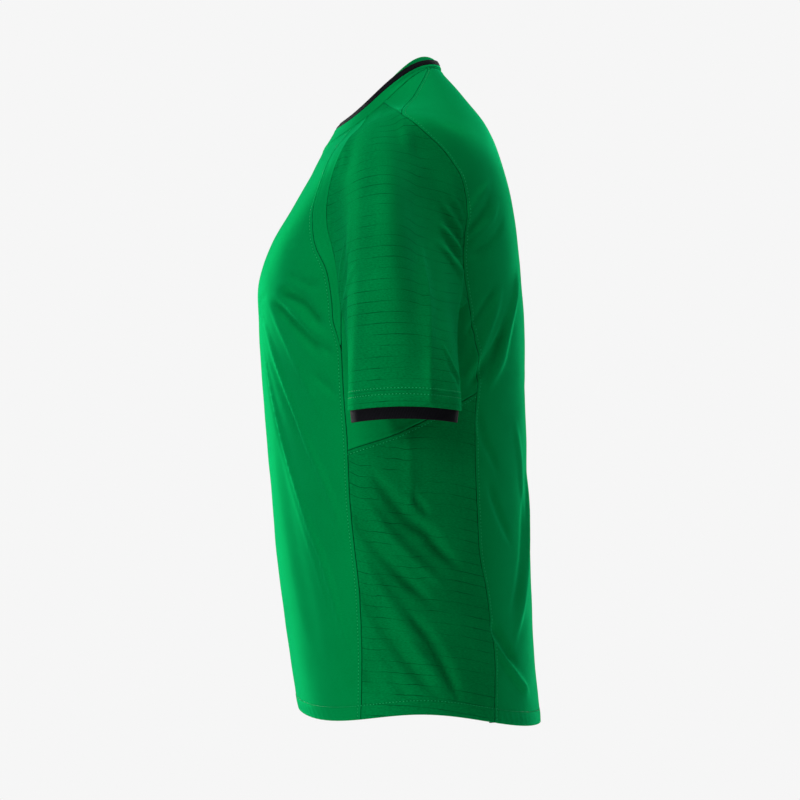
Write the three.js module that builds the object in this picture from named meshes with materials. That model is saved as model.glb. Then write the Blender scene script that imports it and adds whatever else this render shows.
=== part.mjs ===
// A short-sleeved football jersey, filled out as it hangs when worn, sewn from seventeen pieces of cloth.
// Millimetres. X points to the wearer's left, Y to the back and Z up, from a point on the shoulder line.
import * as THREE from 'three';

// Cloth
const KNIT_WALL = 1.2;
const RIB_WALL = 1.6;
const HEM_WALL = 2.2;
const SEAM_GAP = 0.3;
const LAYER_GAP = 0.3;

// Sections of the body, one row for each level from the hem edge up to the top of the collar. The heights
// lie at the front, 45, 90 and 135 degrees round and the back. square is 2 for an ellipse, more for full
// corners.
const SECTION_COLUMNS = [
  'zFront', 'zFrontSide', 'zSide', 'zBackSide', 'zBack', 'yFront', 'yWidest', 'yBack', 'halfWidth', 'square',
];
const SECTIONS = named(SECTION_COLUMNS, [
  [-590, -595, -586, -599, -604, -101, 18, 140, 187, 2.15],
  [-576, -581, -572, -585, -590, -104, 17, 139, 186, 2.15],
  [-535, -541, -535, -543, -547, -110, 12, 135, 184, 2.15],
  [-487, -491, -488, -493, -495, -117, 7, 132, 181, 2.15],
  [-430, -432, -431, -433, -434, -124, 3, 130, 177, 2.15],
  [-370, -370, -370, -371, -371, -129, 0, 128, 174, 2.2],
  [-312, -310, -309, -310, -311, -134, -4, 127, 171, 2.2],
  [-258, -254, -252, -253, -255, -138, -6, 125, 170, 2.25],
  [-208, -203, -200, -202, -205, -141, -8, 124, 170, 2.3],
  [-166, -158, -152, -158, -164, -141, -9, 121, 170, 2.35],
  [-128, -115, -100, -112, -122, -128, -6, 117, 170, 2.4],
  [-94, -79, -54, -68, -82, -108, -3, 111, 169, 2.45],
  [-66, -52, -17, -32, -45, -92, 0, 101, 165, 2.4],
  [-50, -38, -4, -7, -11, -84, -4, 87, 144, 2.3],
  [-40, -29, 1, 21, 20, -79, -10, 63, 115, 2.1],
  [-33, -22, 8, 43, 45, -76, -17, 41, 88, 2],
  [-13, -6, 23, 48, 50, -64, -14, 40, 82, 2],
  [-7, 1, 31, 53, 55, -60, -12, 38, 79, 2],
]);
const HEM_EDGE = 0;
const HEM_STITCH = 1;
const HEM_STEP = 1.12;
const NECK_SEAM = 15;
const COLLAR_SEAM = 16;
const COLLAR_TOP = 17;

// Seams on the body, each given as the place across it (y) at each height (z), from below upwards
const FRONT_LINE = named(['z', 'y'], [
  [-606, -38], [-560, -37], [-515, -37], [-460, -40], [-425, -44], [-386, -48], [-347, -50],
  [-322, -51], [-285, -54], [-248, -56], [-218, -57], [-196, -57], [-174, -59], [-150, -62],
  [-132, -66], [-117, -70], [-96, -71], [-67, -66], [-42, -57], [-24, -47], [-16, -39], [0, -29],
]);
const STRIPE_LINE = named(['z', 'y'], [
  [-233, -57], [-222, -60], [-207, -64.5], [-188, -66], [-157, -71.5], [-134, -82],
  [-121, -84.5], [-98, -84.5], [-68, -76], [-44, -67], [-29, -57], [-11, -43],
]);
const BACK_LINE = named(['z', 'y'], [
  [-610, 91], [-565, 92], [-534, 92], [-501, 88], [-463, 83], [-438, 78], [-392, 75], [-338, 73],
  [-302, 73], [-282, 74], [-262, 76], [-220, 72], [-186, 66], [-160, 62], [-143, 61], [-124, 62.5],
  [-94, 64.7], [-81, 63], [-66, 59], [-53, 51], [-40, 41], [-26, 26], [-12, 10], [-6, 1.5],
  [14, 13], [31, 22], [42, 27],
]);
const SIDE_SEAM_TABLE = named(['y', 'z'], [
  [-55, -335], [-50, -332], [-33, -326], [-4, -316], [11, -309], [28, -301], [59, -285],
  [73, -277], [82, -272],
]);

// Heights of the seam corners
const PANEL_CORNER_FRONT = -332;
const PANEL_CORNER_BACK = -275;
const STRIPE_TIP = -233;
const ARMHOLE_FRONT = -196;
const ARMHOLE_BACK = -186;
const ARMHOLE_SAG = 16;
const SHOULDER_TIP = -6;
const SLEEVE_AT_NECK_BACK = 91;
// Shares of its first row's width at which a piece that runs to a point is cut off, still wide enough to sew
const STRIPE_TIP_WIDTH = 0.3;
const SHOULDER_TIP_WIDTH = 0.15;

// Angles in degrees round from the front between which each seam is looked for
const FRONT_LINE_BETWEEN = [30, 100];
const STRIPE_LINE_BETWEEN = [25, 90];
const BACK_LINE_BETWEEN = [82, 172];

// Largest folds of the body. Angles are in degrees round from the front; a height under zero is a trough.
const BODY_RADIUS = 150;
const BODY_FOLDS = named(['angle0', 'z0', 'angle1', 'z1', 'halfWidth', 'height'], [
  [16, -232, 50, -440, 24, 3],
  [20, -215, 56, -372, 20, 2.4],
  [38, -178, 62, -214, 20, -4],
  [32, -192, 60, -246, 18, -3],
  [78, -350, 117, -450, 22, -3.2],
  [69, -388, 105, -485, 20, -2.6],
  [72, -466, 107, -574, 22, -4],
  [92, -488, 115, -577, 20, -3.6],
  [160, -152, 133, -277, 22, 3.6],
  [146, -172, 122, -262, 20, 3.2],
  [150, -212, 127, -292, 18, -3],
  [165, -350, 147, -530, 26, 3.4],
  [133, -516, 158, -572, 20, 3.2],
  [133, -500, 155, -548, 18, -3],
]);

// Sleeve: its lower end, and how it leaves the armhole at places told by their angle on the cuff, where 0 is
// outward and 90 is back. flow is the way it sets off, inPlane how far it keeps to the body's surface, reach
// how far it holds that way as a share of the way to the cuff.
const SLEEVE_END = { x: 226, y: 4.3, z: -293.5, halfWidth: 44, halfDepth: 54, rise: 4.5, square: 2.2 };
const SLEEVE_END_FLOW = new THREE.Vector3(0.12, -0.01, -0.99);
const SLEEVE_END_REACH = 0.9;
const CUFF_ANGLES = { front: -128, neckFront: -40, neckBack: -27, tip: 4, back: 130 };
const SLEEVE_FLOWS = named(['angle', 'flowX', 'flowY', 'flowZ', 'inPlane', 'reach'], [
  [-180, 0.42, 0.0, -0.9, 0, 0.8],
  [-150, 0.42, 0.0, -0.9, 0, 0.8],
  [-128, 0.4, 0.0, -0.9, 0.2, 0.85],
  [-105, 0.62, 0.12, -0.77, 0.8, 0.95],
  [-70, 0.85, 0.2, -0.5, 1, 1.1],
  [-40, 0.97, 0.1, -0.2, 1, 1.2],
  [-27, 0.98, 0.0, -0.2, 1, 1.2],
  [4, 0.9, 0.0, -0.4, 1, 1.15],
  [45, 0.8, -0.1, -0.6, 1, 1.1],
  [100, 0.6, -0.15, -0.77, 0.8, 0.95],
  [130, 0.4, 0.0, -0.9, 0.2, 0.85],
  [155, 0.42, 0.0, -0.9, 0, 0.8],
  [180, 0.42, 0.0, -0.9, 0, 0.8],
]);
// Largest folds of the sleeve: angle on the cuff and share of the way down, then half width and height
const SLEEVE_RADIUS = 50;
const SLEEVE_LENGTH = 230;
const SLEEVE_FOLDS_FROM = 0.125;
const SLEEVE_FOLDS_TO = 0.167;
const SLEEVE_FOLDS = named(['angle0', 'down0', 'angle1', 'down1', 'halfWidth', 'height'], [
  [45, 0.2, 98, 0.12, 14, 2.6],
  [40, 0.36, 100, 0.3, 14, 2.6],
  [-75, 0.25, -82, 0.75, 16, 2.4],
  [-50, 0.3, -70, 0.6, 14, -2.2],
]);

// Cuffs, collar and inner neckband
const CUFF_DROP = 11.5;
const CUFF_TUCK = 11;
const CUFF_DRAW_IN = 1.2;
const BAND_TUCK_LEVEL = 15.9;
const BAND_UPPER_LEVEL = 16.85;
const BAND_PROUD = 4.8;
const BAND_PROUD_AT = 132;
const BAND_PROUD_SPREAD = 42;
const BAND_FRONT_DROP = -0.8;

// Divisions of the cloth
const HALF_FRONT_COLUMNS = 10;
const HALF_BACK_COLUMNS = 9;
const SIDE_COLUMNS = 8;
const SIDE_ROWS = 7;
const UNDERARM_ROWS = 4;
const TIP_ROW_SHARE = 3;
const CHEST_ROWS = 9;
const BACK_ARMHOLE_ROWS = 8;
const SHOULDER_ROWS = 5;
const SHOULDER_COLUMNS = 4;
const STRIPE_COLUMNS = 2;
const NECK_TIP_COLUMNS = 2;
const SLEEVE_ROWS = 12;
const CUFF_ROWS = 3;
const BAND_ROWS = 2;

// Colours
const GREEN = { color: 0x00843f, roughness: 0.62, metalness: 0 };
const PIN_LINE_GREEN = { color: 0x007a3a, roughness: 0.66, metalness: 0 };
const BLACK = { color: 0x18181c, roughness: 0.8, metalness: 0 };

const DEGREE = Math.PI / 180;
const STEP = 1e-3;
const SOLVE_STEPS = 50;

// Tables and curves

function named(columns, rows) {
  return rows.map((row) => Object.fromEntries(columns.map((column, i) => [column, row[i]])));
}

function lerp(a, b, t) {
  return a + (b - a) * t;
}

function steps(count) {
  return Array.from({ length: count + 1 }, (_, i) => i / count);
}

// A smooth curve through a table's rows, for keys that rise from row to row
function throughRows(rows, key, column) {
  const slopeBetween = (i) => (rows[i + 1][column] - rows[i][column]) / (rows[i + 1][key] - rows[i][key]);
  const last = rows.length - 1;
  const slopes = rows.map((_, i) => {
    if (i === 0) return slopeBetween(0);
    if (i === last) return slopeBetween(last - 1);
    return (slopeBetween(i - 1) + slopeBetween(i)) / 2;
  });
  return (at) => {
    let i = 0;
    while (i < last - 1 && at > rows[i + 1][key]) i += 1;
    const span = rows[i + 1][key] - rows[i][key];
    const t = THREE.MathUtils.clamp((at - rows[i][key]) / span, 0, 1);
    const t2 = t * t;
    const t3 = t2 * t;
    return (2 * t3 - 3 * t2 + 1) * rows[i][column] + (t3 - 2 * t2 + t) * span * slopes[i]
      + (3 * t2 - 2 * t3) * rows[i + 1][column] + (t3 - t2) * span * slopes[i + 1];
  };
}

// A value that goes once round the body and is the same on both sides, from five values 45 degrees apart
function roundBody(values, angle) {
  const last = values.length - 1;
  let sum = 0;
  for (let k = 0; k <= last; k += 1) {
    let weight = 0;
    for (let m = 0; m <= last; m += 1) {
      const share = m === 0 || m === last ? 0.5 : 1;
      weight += share * values[m] * Math.cos((k * m * Math.PI) / last);
    }
    const share = k === 0 || k === last ? 0.5 : 1;
    sum += share * (2 / last) * weight * Math.cos(k * angle);
  }
  return sum;
}

// Where a rising function passes zero
function solve(difference, low, high) {
  let from = low;
  let to = high;
  for (let i = 0; i < SOLVE_STEPS; i += 1) {
    const middle = (from + to) / 2;
    if (difference(middle) < 0) from = middle;
    else to = middle;
  }
  return (from + to) / 2;
}

// How much of a fold is left beside it: one on its line, nothing past its half width, soft at its ends
function foldShare(alongX, alongY, fold) {
  const length = Math.hypot(fold.dx, fold.dy);
  const along = (alongX * fold.dx + alongY * fold.dy) / length;
  const across = Math.abs(alongX * fold.dy - alongY * fold.dx) / length;
  const past = Math.max(0, -along, along - length);
  const away = Math.hypot(across, past) / fold.halfWidth;
  return away < 1 ? (1 - away * away) ** 2 : 0;
}

// Body surface

const sectionLevels = SECTIONS.map((row, level) => ({ ...row, level }));

function curvesThrough(rows) {
  return SECTION_COLUMNS.map((column) => throughRows(rows, 'level', column));
}

// The cloth bends sharply at the neckband seam, so the curves stop and start again there
const bodyCurves = curvesThrough(sectionLevels.slice(0, NECK_SEAM + 1));
const neckCurves = curvesThrough(sectionLevels.slice(NECK_SEAM));

function section(level) {
  const curves = level > NECK_SEAM ? neckCurves : bodyCurves;
  return Object.fromEntries(SECTION_COLUMNS.map((column, i) => [column, curves[i](level)]));
}

function plainSkin(angle, level) {
  const s = section(level);
  const cosine = Math.cos(angle);
  const sine = Math.sin(angle);
  const reach = (Math.abs(cosine) ** s.square + Math.abs(sine) ** s.square) ** (-1 / s.square);
  const depth = cosine > 0 ? s.yWidest - s.yFront : s.yBack - s.yWidest;
  return new THREE.Vector3(
    s.halfWidth * reach * sine,
    s.yWidest - depth * reach * cosine,
    roundBody([s.zFront, s.zFrontSide, s.zSide, s.zBackSide, s.zBack], angle),
  );
}

function normalOf(surface, u, v) {
  const across = surface(u + STEP, v).sub(surface(u - STEP, v));
  const up = surface(u, v + STEP).sub(surface(u, v - STEP));
  return across.cross(up).normalize();
}

function bodyFoldHeight(angle, z) {
  const round = Math.acos(THREE.MathUtils.clamp(Math.cos(angle), -1, 1));
  let height = 0;
  for (const fold of BODY_FOLDS) {
    const line = {
      dx: (fold.angle1 - fold.angle0) * DEGREE * BODY_RADIUS,
      dy: fold.z1 - fold.z0,
      halfWidth: fold.halfWidth,
    };
    height += fold.height * foldShare((round - fold.angle0 * DEGREE) * BODY_RADIUS, z - fold.z0, line);
  }
  return height;
}

function skin(angle, level) {
  const point = plainSkin(angle, level);
  return point.addScaledVector(normalOf(plainSkin, angle, level), bodyFoldHeight(angle, point.z));
}

function skinNode(angle, level) {
  return { angle, level, point: skin(angle, level), normal: normalOf(skin, angle, level) };
}

// Seams on the body, as the angle at a level

const frontLineY = throughRows(FRONT_LINE, 'z', 'y');
const stripeLineY = throughRows(STRIPE_LINE, 'z', 'y');
const backLineY = throughRows(BACK_LINE, 'z', 'y');
const sideSeamZ = throughRows(SIDE_SEAM_TABLE, 'y', 'z');

function angleOnLine(lineY, level, [low, high]) {
  const difference = (angle) => {
    const point = plainSkin(angle, level);
    return point.y - lineY(point.z);
  };
  return solve(difference, low * DEGREE, high * DEGREE);
}

function remember(work) {
  const found = new Map();
  return (level) => {
    if (!found.has(level)) found.set(level, work(level));
    return found.get(level);
  };
}

const frontAngle = remember((level) => angleOnLine(frontLineY, level, FRONT_LINE_BETWEEN));
const stripeAngle = remember((level) => angleOnLine(stripeLineY, level, STRIPE_LINE_BETWEEN));
const backAngle = remember((level) => angleOnLine(backLineY, level, BACK_LINE_BETWEEN));

function levelAtHeight(angleAt, z) {
  return solve((level) => plainSkin(angleAt(level), level).z - z, HEM_EDGE, NECK_SEAM);
}

const panelCornerFront = levelAtHeight(frontAngle, PANEL_CORNER_FRONT);
const armholeFront = levelAtHeight(frontAngle, ARMHOLE_FRONT);
const stripeTip = levelAtHeight(frontAngle, STRIPE_TIP);
const panelCornerBack = levelAtHeight(backAngle, PANEL_CORNER_BACK);
const armholeBack = levelAtHeight(backAngle, ARMHOLE_BACK);
const shoulderTip = levelAtHeight(backAngle, SHOULDER_TIP);

function sideAngle(t, level) {
  return lerp(frontAngle(level), backAngle(level), t);
}

// Level of the side panel's top seam, at a share of the way from the front line to the back line
const sideSeamLevel = remember((t) => {
  if (t === 0) return panelCornerFront;
  if (t === 1) return panelCornerBack;
  return solve((level) => {
    const point = plainSkin(sideAngle(t, level), level);
    return point.z - sideSeamZ(point.y);
  }, HEM_EDGE, NECK_SEAM);
});

const underarmLevel = remember((t) => {
  if (t === 0) return armholeFront;
  if (t === 1) return armholeBack;
  const height = lerp(ARMHOLE_FRONT, ARMHOLE_BACK, t) - ARMHOLE_SAG * Math.sin(Math.PI * t);
  return levelAtHeight((level) => sideAngle(t, level), height);
});

// Levels of the cloth's rows

function hemRows(seamLevel) {
  const above = steps(SIDE_ROWS).slice(1).map((t) => lerp(HEM_STEP, seamLevel, t));
  return [HEM_EDGE, HEM_STITCH, HEM_STEP, ...above];
}

// The front edge of the underarm piece has a row at the stripe's tip
function underarmShare(t, row) {
  const frontShare = row <= TIP_ROW_SHARE
    ? ((row / TIP_ROW_SHARE) * (stripeTip - panelCornerFront)) / (armholeFront - panelCornerFront)
    : lerp(stripeTip - panelCornerFront, armholeFront - panelCornerFront,
      (row - TIP_ROW_SHARE) / (UNDERARM_ROWS - TIP_ROW_SHARE)) / (armholeFront - panelCornerFront);
  return lerp(frontShare, row / UNDERARM_ROWS, t);
}

function underarmRows(t) {
  return Array.from({ length: UNDERARM_ROWS + 1 }, (_, row) => (
    lerp(sideSeamLevel(t), underarmLevel(t), underarmShare(t, row))));
}

const chestRows = steps(CHEST_ROWS).map((t) => lerp(armholeFront, NECK_SEAM, t));
const backArmholeRows = steps(BACK_ARMHOLE_ROWS).map((t) => lerp(armholeBack, shoulderTip, t));
const shoulderRows = steps(SHOULDER_ROWS).map((t) => lerp(shoulderTip, NECK_SEAM, t));
const frontRows = [...hemRows(panelCornerFront), ...underarmRows(0).slice(1), ...chestRows.slice(1)];
const backRows = [
  ...hemRows(panelCornerBack),
  ...underarmRows(1).slice(1),
  ...backArmholeRows.slice(1),
  ...shoulderRows.slice(1),
];

function frontEdgeAngle(level) {
  return level <= stripeTip ? frontAngle(level) : stripeAngle(level);
}

// Walls of cloth

function drawnIn(grid, closed) {
  const rowCount = grid.length;
  const columnCount = grid[0].length;
  const at = (row, column) => grid[row][closed ? (column + columnCount) % columnCount : column];
  const moves = grid.map((row) => row.map(() => new THREE.Vector3()));
  const pull = (row, column, along, inside) => {
    const node = at(row, column);
    const way = along.clone().cross(node.normal).normalize();
    const inward = inside.point.clone().sub(node.point);
    const side = Math.sign(way.dot(inward));
    moves[row][column].addScaledVector(way, (side * SEAM_GAP) / 2);
  };
  for (const [row, next] of [[0, 1], [rowCount - 1, rowCount - 2]]) {
    for (let column = 0; column < columnCount; column += 1) {
      const before = closed ? column - 1 : Math.max(column - 1, 0);
      const after = closed ? column + 1 : Math.min(column + 1, columnCount - 1);
      pull(row, column, at(row, after).point.clone().sub(at(row, before).point), at(next, column));
    }
  }
  if (!closed) {
    for (const [column, next] of [[0, 1], [columnCount - 1, columnCount - 2]]) {
      for (let row = 0; row < rowCount; row += 1) {
        const before = grid[Math.max(row - 1, 0)][column];
        const after = grid[Math.min(row + 1, rowCount - 1)][column];
        pull(row, column, after.point.clone().sub(before.point), at(row, next));
      }
    }
  }
  return grid.map((row, j) => row.map((node, i) => ({
    ...node, point: node.point.clone().add(moves[j][i]),
  })));
}

// A closed wall whose outer face runs through a grid of nodes, rows upwards and columns from the front round
function wall(nodes, { closed = false, thickness = KNIT_WALL } = {}) {
  const grid = drawnIn(nodes, closed);
  const rowCount = grid.length;
  const columnCount = grid[0].length;
  const positions = [];
  for (const inner of [false, true]) {
    for (const row of grid) {
      for (const node of row) {
        const depth = inner ? node.thickness ?? thickness : 0;
        positions.push(...node.point.clone().addScaledVector(node.normal, -depth).toArray());
      }
    }
  }
  const layer = rowCount * columnCount;
  const outerAt = (row, column) => row * columnCount + (column % columnCount);
  const innerAt = (row, column) => layer + outerAt(row, column);
  const indices = [];
  const quad = (a, b, c, d) => indices.push(a, b, c, a, c, d);
  const spans = closed ? columnCount : columnCount - 1;
  for (let row = 0; row < rowCount - 1; row += 1) {
    for (let column = 0; column < spans; column += 1) {
      const above = row + 1;
      const beside = column + 1;
      quad(outerAt(row, column), outerAt(row, beside), outerAt(above, beside), outerAt(above, column));
      quad(innerAt(row, column), innerAt(above, column), innerAt(above, beside), innerAt(row, beside));
    }
  }
  const top = rowCount - 1;
  for (let column = 0; column < spans; column += 1) {
    quad(outerAt(0, column + 1), outerAt(0, column), innerAt(0, column), innerAt(0, column + 1));
    quad(outerAt(top, column), outerAt(top, column + 1), innerAt(top, column + 1), innerAt(top, column));
  }
  if (!closed) {
    const end = columnCount - 1;
    for (let row = 0; row < top; row += 1) {
      quad(outerAt(row, 0), outerAt(row + 1, 0), innerAt(row + 1, 0), innerAt(row, 0));
      quad(outerAt(row + 1, end), outerAt(row, end), innerAt(row, end), innerAt(row + 1, end));
    }
  }
  const geometry = new THREE.BufferGeometry();
  geometry.setAttribute('position', new THREE.Float32BufferAttribute(positions, 3));
  geometry.setIndex(indices);
  geometry.computeVertexNormals();
  return geometry;
}

function mirrored(geometry) {
  const copy = geometry.clone();
  copy.applyMatrix4(new THREE.Matrix4().makeScale(-1, 1, 1));
  const index = copy.getIndex();
  for (let i = 0; i < index.count; i += 3) {
    const second = index.getX(i + 1);
    index.setX(i + 1, index.getX(i + 2));
    index.setX(i + 2, second);
  }
  copy.computeVertexNormals();
  return copy;
}

function hemThickness(level) {
  return level <= HEM_STITCH ? HEM_WALL : KNIT_WALL;
}

// Body pieces

function frontGeometry() {
  const shares = steps(2 * HALF_FRONT_COLUMNS).map((t) => 2 * t - 1);
  return wall(frontRows.map((level) => shares.map((share) => ({
    ...skinNode(share * frontEdgeAngle(level), level), thickness: hemThickness(level),
  }))));
}

function backGeometry() {
  const shares = steps(2 * HALF_BACK_COLUMNS).map((t) => 2 * t - 1);
  return wall(backRows.map((level) => shares.map((share) => ({
    ...skinNode(Math.PI + share * (Math.PI - backAngle(level)), level), thickness: hemThickness(level),
  }))));
}

function sidePanelGeometry() {
  const columns = steps(SIDE_COLUMNS).map((t) => hemRows(sideSeamLevel(t)).map((level) => ({
    ...skinNode(sideAngle(t, level), level), thickness: hemThickness(level),
  })));
  return wall(turned(columns));
}

function underarmGeometry() {
  const columns = steps(SIDE_COLUMNS).map((t) => underarmRows(t).map((level) => (
    skinNode(sideAngle(t, level), level))));
  return wall(turned(columns));
}

function turned(columns) {
  return columns[0].map((_, row) => columns.map((column) => column[row]));
}

function between(a, b, t) {
  return { point: a.point.clone().lerp(b.point, t), normal: a.normal.clone().lerp(b.normal, t).normalize() };
}

// The stripe runs down to a point
function stripeGeometry() {
  const levels = frontRows.filter((level) => level > stripeTip);
  const rows = levels.map((level) => steps(STRIPE_COLUMNS).map((t) => (
    skinNode(lerp(stripeAngle(level), frontAngle(level), t), level))));
  const tip = skinNode(frontAngle(stripeTip), stripeTip);
  const lowest = rows[0].map((node) => between(tip, node, STRIPE_TIP_WIDTH));
  return wall([lowest, ...rows]);
}

// The shoulder piece: its front edge goes straight over the surface from the neckband to the shoulder tip
function shoulderFrontAngle(level) {
  const t = (level - shoulderTip) / (NECK_SEAM - shoulderTip);
  return lerp(backAngle(shoulderTip), SLEEVE_AT_NECK_BACK * DEGREE, t);
}

function shoulderGeometry() {
  const rows = shoulderRows.slice(1).map((level) => steps(SHOULDER_COLUMNS).map((t) => (
    skinNode(lerp(shoulderFrontAngle(level), backAngle(level), t), level))));
  const tip = skinNode(backAngle(shoulderTip), shoulderTip);
  const lowest = rows[0].map((node) => between(tip, node, SHOULDER_TIP_WIDTH));
  return wall([lowest, ...rows]);
}

// Sleeves

// Armhole from the underarm's front corner up to the neckband, over the shoulder, down and under the arm
function armholeLoop() {
  const nodes = [];
  const add = (list, angleFrom, angleTo) => {
    let length = 0;
    const lengths = list.map((node, i) => {
      length += i ? node.point.distanceTo(list[i - 1].point) : 0;
      return length;
    });
    list.slice(0, -1).forEach((node, i) => {
      nodes.push({ ...node, cuffAngle: lerp(angleFrom, angleTo, lengths[i] / length) });
    });
  };
  const sleeveTop = steps(NECK_TIP_COLUMNS).map((t) => (
    lerp(frontAngle(NECK_SEAM), SLEEVE_AT_NECK_BACK * DEGREE, t)));
  const up = chestRows.map((level) => skinNode(frontAngle(level), level));
  const neck = sleeveTop.map((angle) => skinNode(angle, NECK_SEAM));
  const over = [...shoulderRows].reverse().map((level) => skinNode(shoulderFrontAngle(level), level));
  const down = [...backArmholeRows].reverse().map((level) => skinNode(backAngle(level), level));
  const under = steps(SIDE_COLUMNS).reverse().map((t) => (
    skinNode(sideAngle(t, underarmLevel(t)), underarmLevel(t))));
  add(up, CUFF_ANGLES.front, CUFF_ANGLES.neckFront);
  add(neck, CUFF_ANGLES.neckFront, CUFF_ANGLES.neckBack);
  add(over, CUFF_ANGLES.neckBack, CUFF_ANGLES.tip);
  add(down, CUFF_ANGLES.tip, CUFF_ANGLES.back);
  add(under, CUFF_ANGLES.back, CUFF_ANGLES.front + 360);
  return nodes;
}

const loop = armholeLoop();

function loopAt(index) {
  return loop[(index + loop.length) % loop.length];
}

function sleeveEnd(cuffAngle) {
  const cosine = Math.cos(cuffAngle * DEGREE);
  const sine = Math.sin(cuffAngle * DEGREE);
  const { square } = SLEEVE_END;
  const reach = (Math.abs(cosine) ** square + Math.abs(sine) ** square) ** (-1 / square);
  return new THREE.Vector3(
    SLEEVE_END.x + SLEEVE_END.halfWidth * reach * cosine,
    SLEEVE_END.y + SLEEVE_END.halfDepth * reach * sine,
    SLEEVE_END.z + SLEEVE_END.rise * cosine * cosine,
  );
}

const flowCurves = Object.fromEntries(['flowX', 'flowY', 'flowZ', 'inPlane', 'reach'].map((column) => (
  [column, throughRows(SLEEVE_FLOWS, 'angle', column)])));

function sleeveStartFlow(normal, cuffAngle) {
  const at = cuffAngle > 180 ? cuffAngle - 360 : cuffAngle;
  const flow = new THREE.Vector3(flowCurves.flowX(at), flowCurves.flowY(at), flowCurves.flowZ(at));
  flow.addScaledVector(normal, -flow.dot(normal) * flowCurves.inPlane(at));
  return flow.normalize().multiplyScalar(flowCurves.reach(at));
}

// Where the front line crosses the level of the shoulder tip, as an angle on the cuff
function crownFrontAngle() {
  const above = loop.findIndex((node) => node.level > shoulderTip);
  const share = (shoulderTip - loop[above - 1].level) / (loop[above].level - loop[above - 1].level);
  return lerp(loop[above - 1].cuffAngle, loop[above].cuffAngle, share);
}

const crownFront = crownFrontAngle();

// Each line down the sleeve first keeps to the body's surface, from its start on the armhole to the crown
// of the shoulder, and then crosses to the cuff in one sweep. Starts below the crown have no first stretch.
const sleeveLines = loop.map((node) => {
  const { angle, level, cuffAngle } = node;
  const aboveCrown = level > shoulderTip + STEP;
  const crownShare = (cuffAngle - crownFront) / (CUFF_ANGLES.tip - crownFront);
  const leave = aboveCrown
    ? { angle: lerp(frontAngle(shoulderTip), backAngle(shoulderTip), crownShare), level: shoulderTip }
    : { angle, level };
  const { point, normal } = aboveCrown ? skinNode(leave.angle, leave.level) : node;
  const end = sleeveEnd(cuffAngle);
  const way = end.distanceTo(point);
  return {
    from: { angle, level },
    leave,
    firstLength: node.point.distanceTo(point),
    point,
    end,
    way,
    start: sleeveStartFlow(normal, cuffAngle).multiplyScalar(way),
    finish: SLEEVE_END_FLOW.clone().multiplyScalar(way * SLEEVE_END_REACH),
  };
});

function onSleeveLine(index, down) {
  const line = sleeveLines[(index + loop.length) % loop.length];
  const travelled = down * (line.firstLength + line.way);
  if (travelled < line.firstLength) {
    const t = travelled / line.firstLength;
    return skin(lerp(line.from.angle, line.leave.angle, t), lerp(line.from.level, line.leave.level, t));
  }
  const t = (travelled - line.firstLength) / line.way;
  const t2 = t * t;
  const t3 = t2 * t;
  return new THREE.Vector3()
    .addScaledVector(line.point, 2 * t3 - 3 * t2 + 1)
    .addScaledVector(line.start, t3 - 2 * t2 + t)
    .addScaledVector(line.end, 3 * t2 - 2 * t3)
    .addScaledVector(line.finish, t3 - t2);
}

function sleeveFoldHeight(cuffAngle, down) {
  const fade = Math.min(1, down / SLEEVE_FOLDS_FROM) * Math.min(1, (1 - down) / SLEEVE_FOLDS_TO);
  const turn = cuffAngle > 180 ? cuffAngle - 360 : cuffAngle;
  let height = 0;
  for (const fold of SLEEVE_FOLDS) {
    const line = {
      dx: (fold.angle1 - fold.angle0) * DEGREE * SLEEVE_RADIUS,
      dy: (fold.down1 - fold.down0) * SLEEVE_LENGTH,
      halfWidth: fold.halfWidth,
    };
    const x = (turn - fold.angle0) * DEGREE * SLEEVE_RADIUS;
    const y = (down - fold.down0) * SLEEVE_LENGTH;
    height += fold.height * foldShare(x, y, line);
  }
  return height * fade;
}

function sleeveNode(index, down) {
  const at = THREE.MathUtils.clamp(down, STEP, 1 - STEP);
  const { cuffAngle, normal: bodyNormal } = loopAt(index);
  const across = onSleeveLine(index + 1, at).sub(onSleeveLine(index - 1, at));
  const along = onSleeveLine(index, at - STEP).sub(onSleeveLine(index, at + STEP));
  const normal = across.cross(along).normalize();
  if (down === 0) {
    const turn = cuffAngle > 180 ? cuffAngle - 360 : cuffAngle;
    normal.lerp(bodyNormal, flowCurves.inPlane(turn)).normalize();
  }
  const point = onSleeveLine(index, down);
  return { point: point.addScaledVector(normal, sleeveFoldHeight(cuffAngle, down)), normal };
}

function sleeveGeometry() {
  const rows = steps(SLEEVE_ROWS).reverse().map((down) => loop.map((_, index) => sleeveNode(index, down)));
  return wall(rows, { closed: true });
}

// The cuff starts inside the sleeve's hem, on the straight between its last two rows, and comes out below it
function cuffGeometry() {
  const rows = steps(CUFF_ROWS).map((t) => loop.map((_, index) => {
    const drop = lerp(CUFF_DROP, -CUFF_TUCK, t);
    const hem = sleeveNode(index, 1);
    const above = sleeveNode(index, 1 - 1 / SLEEVE_ROWS);
    const drawIn = KNIT_WALL + LAYER_GAP + (drop > 0 ? (CUFF_DRAW_IN * drop) / CUFF_DROP : 0);
    const node = drop > 0
      ? { point: hem.point.clone().addScaledVector(SLEEVE_END_FLOW, drop), normal: hem.normal }
      : between(hem, above, -drop / hem.point.distanceTo(above.point));
    return { point: node.point.addScaledVector(node.normal, -drawIn), normal: node.normal };
  }));
  return wall(rows, { closed: true, thickness: RIB_WALL });
}

// Neck

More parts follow.
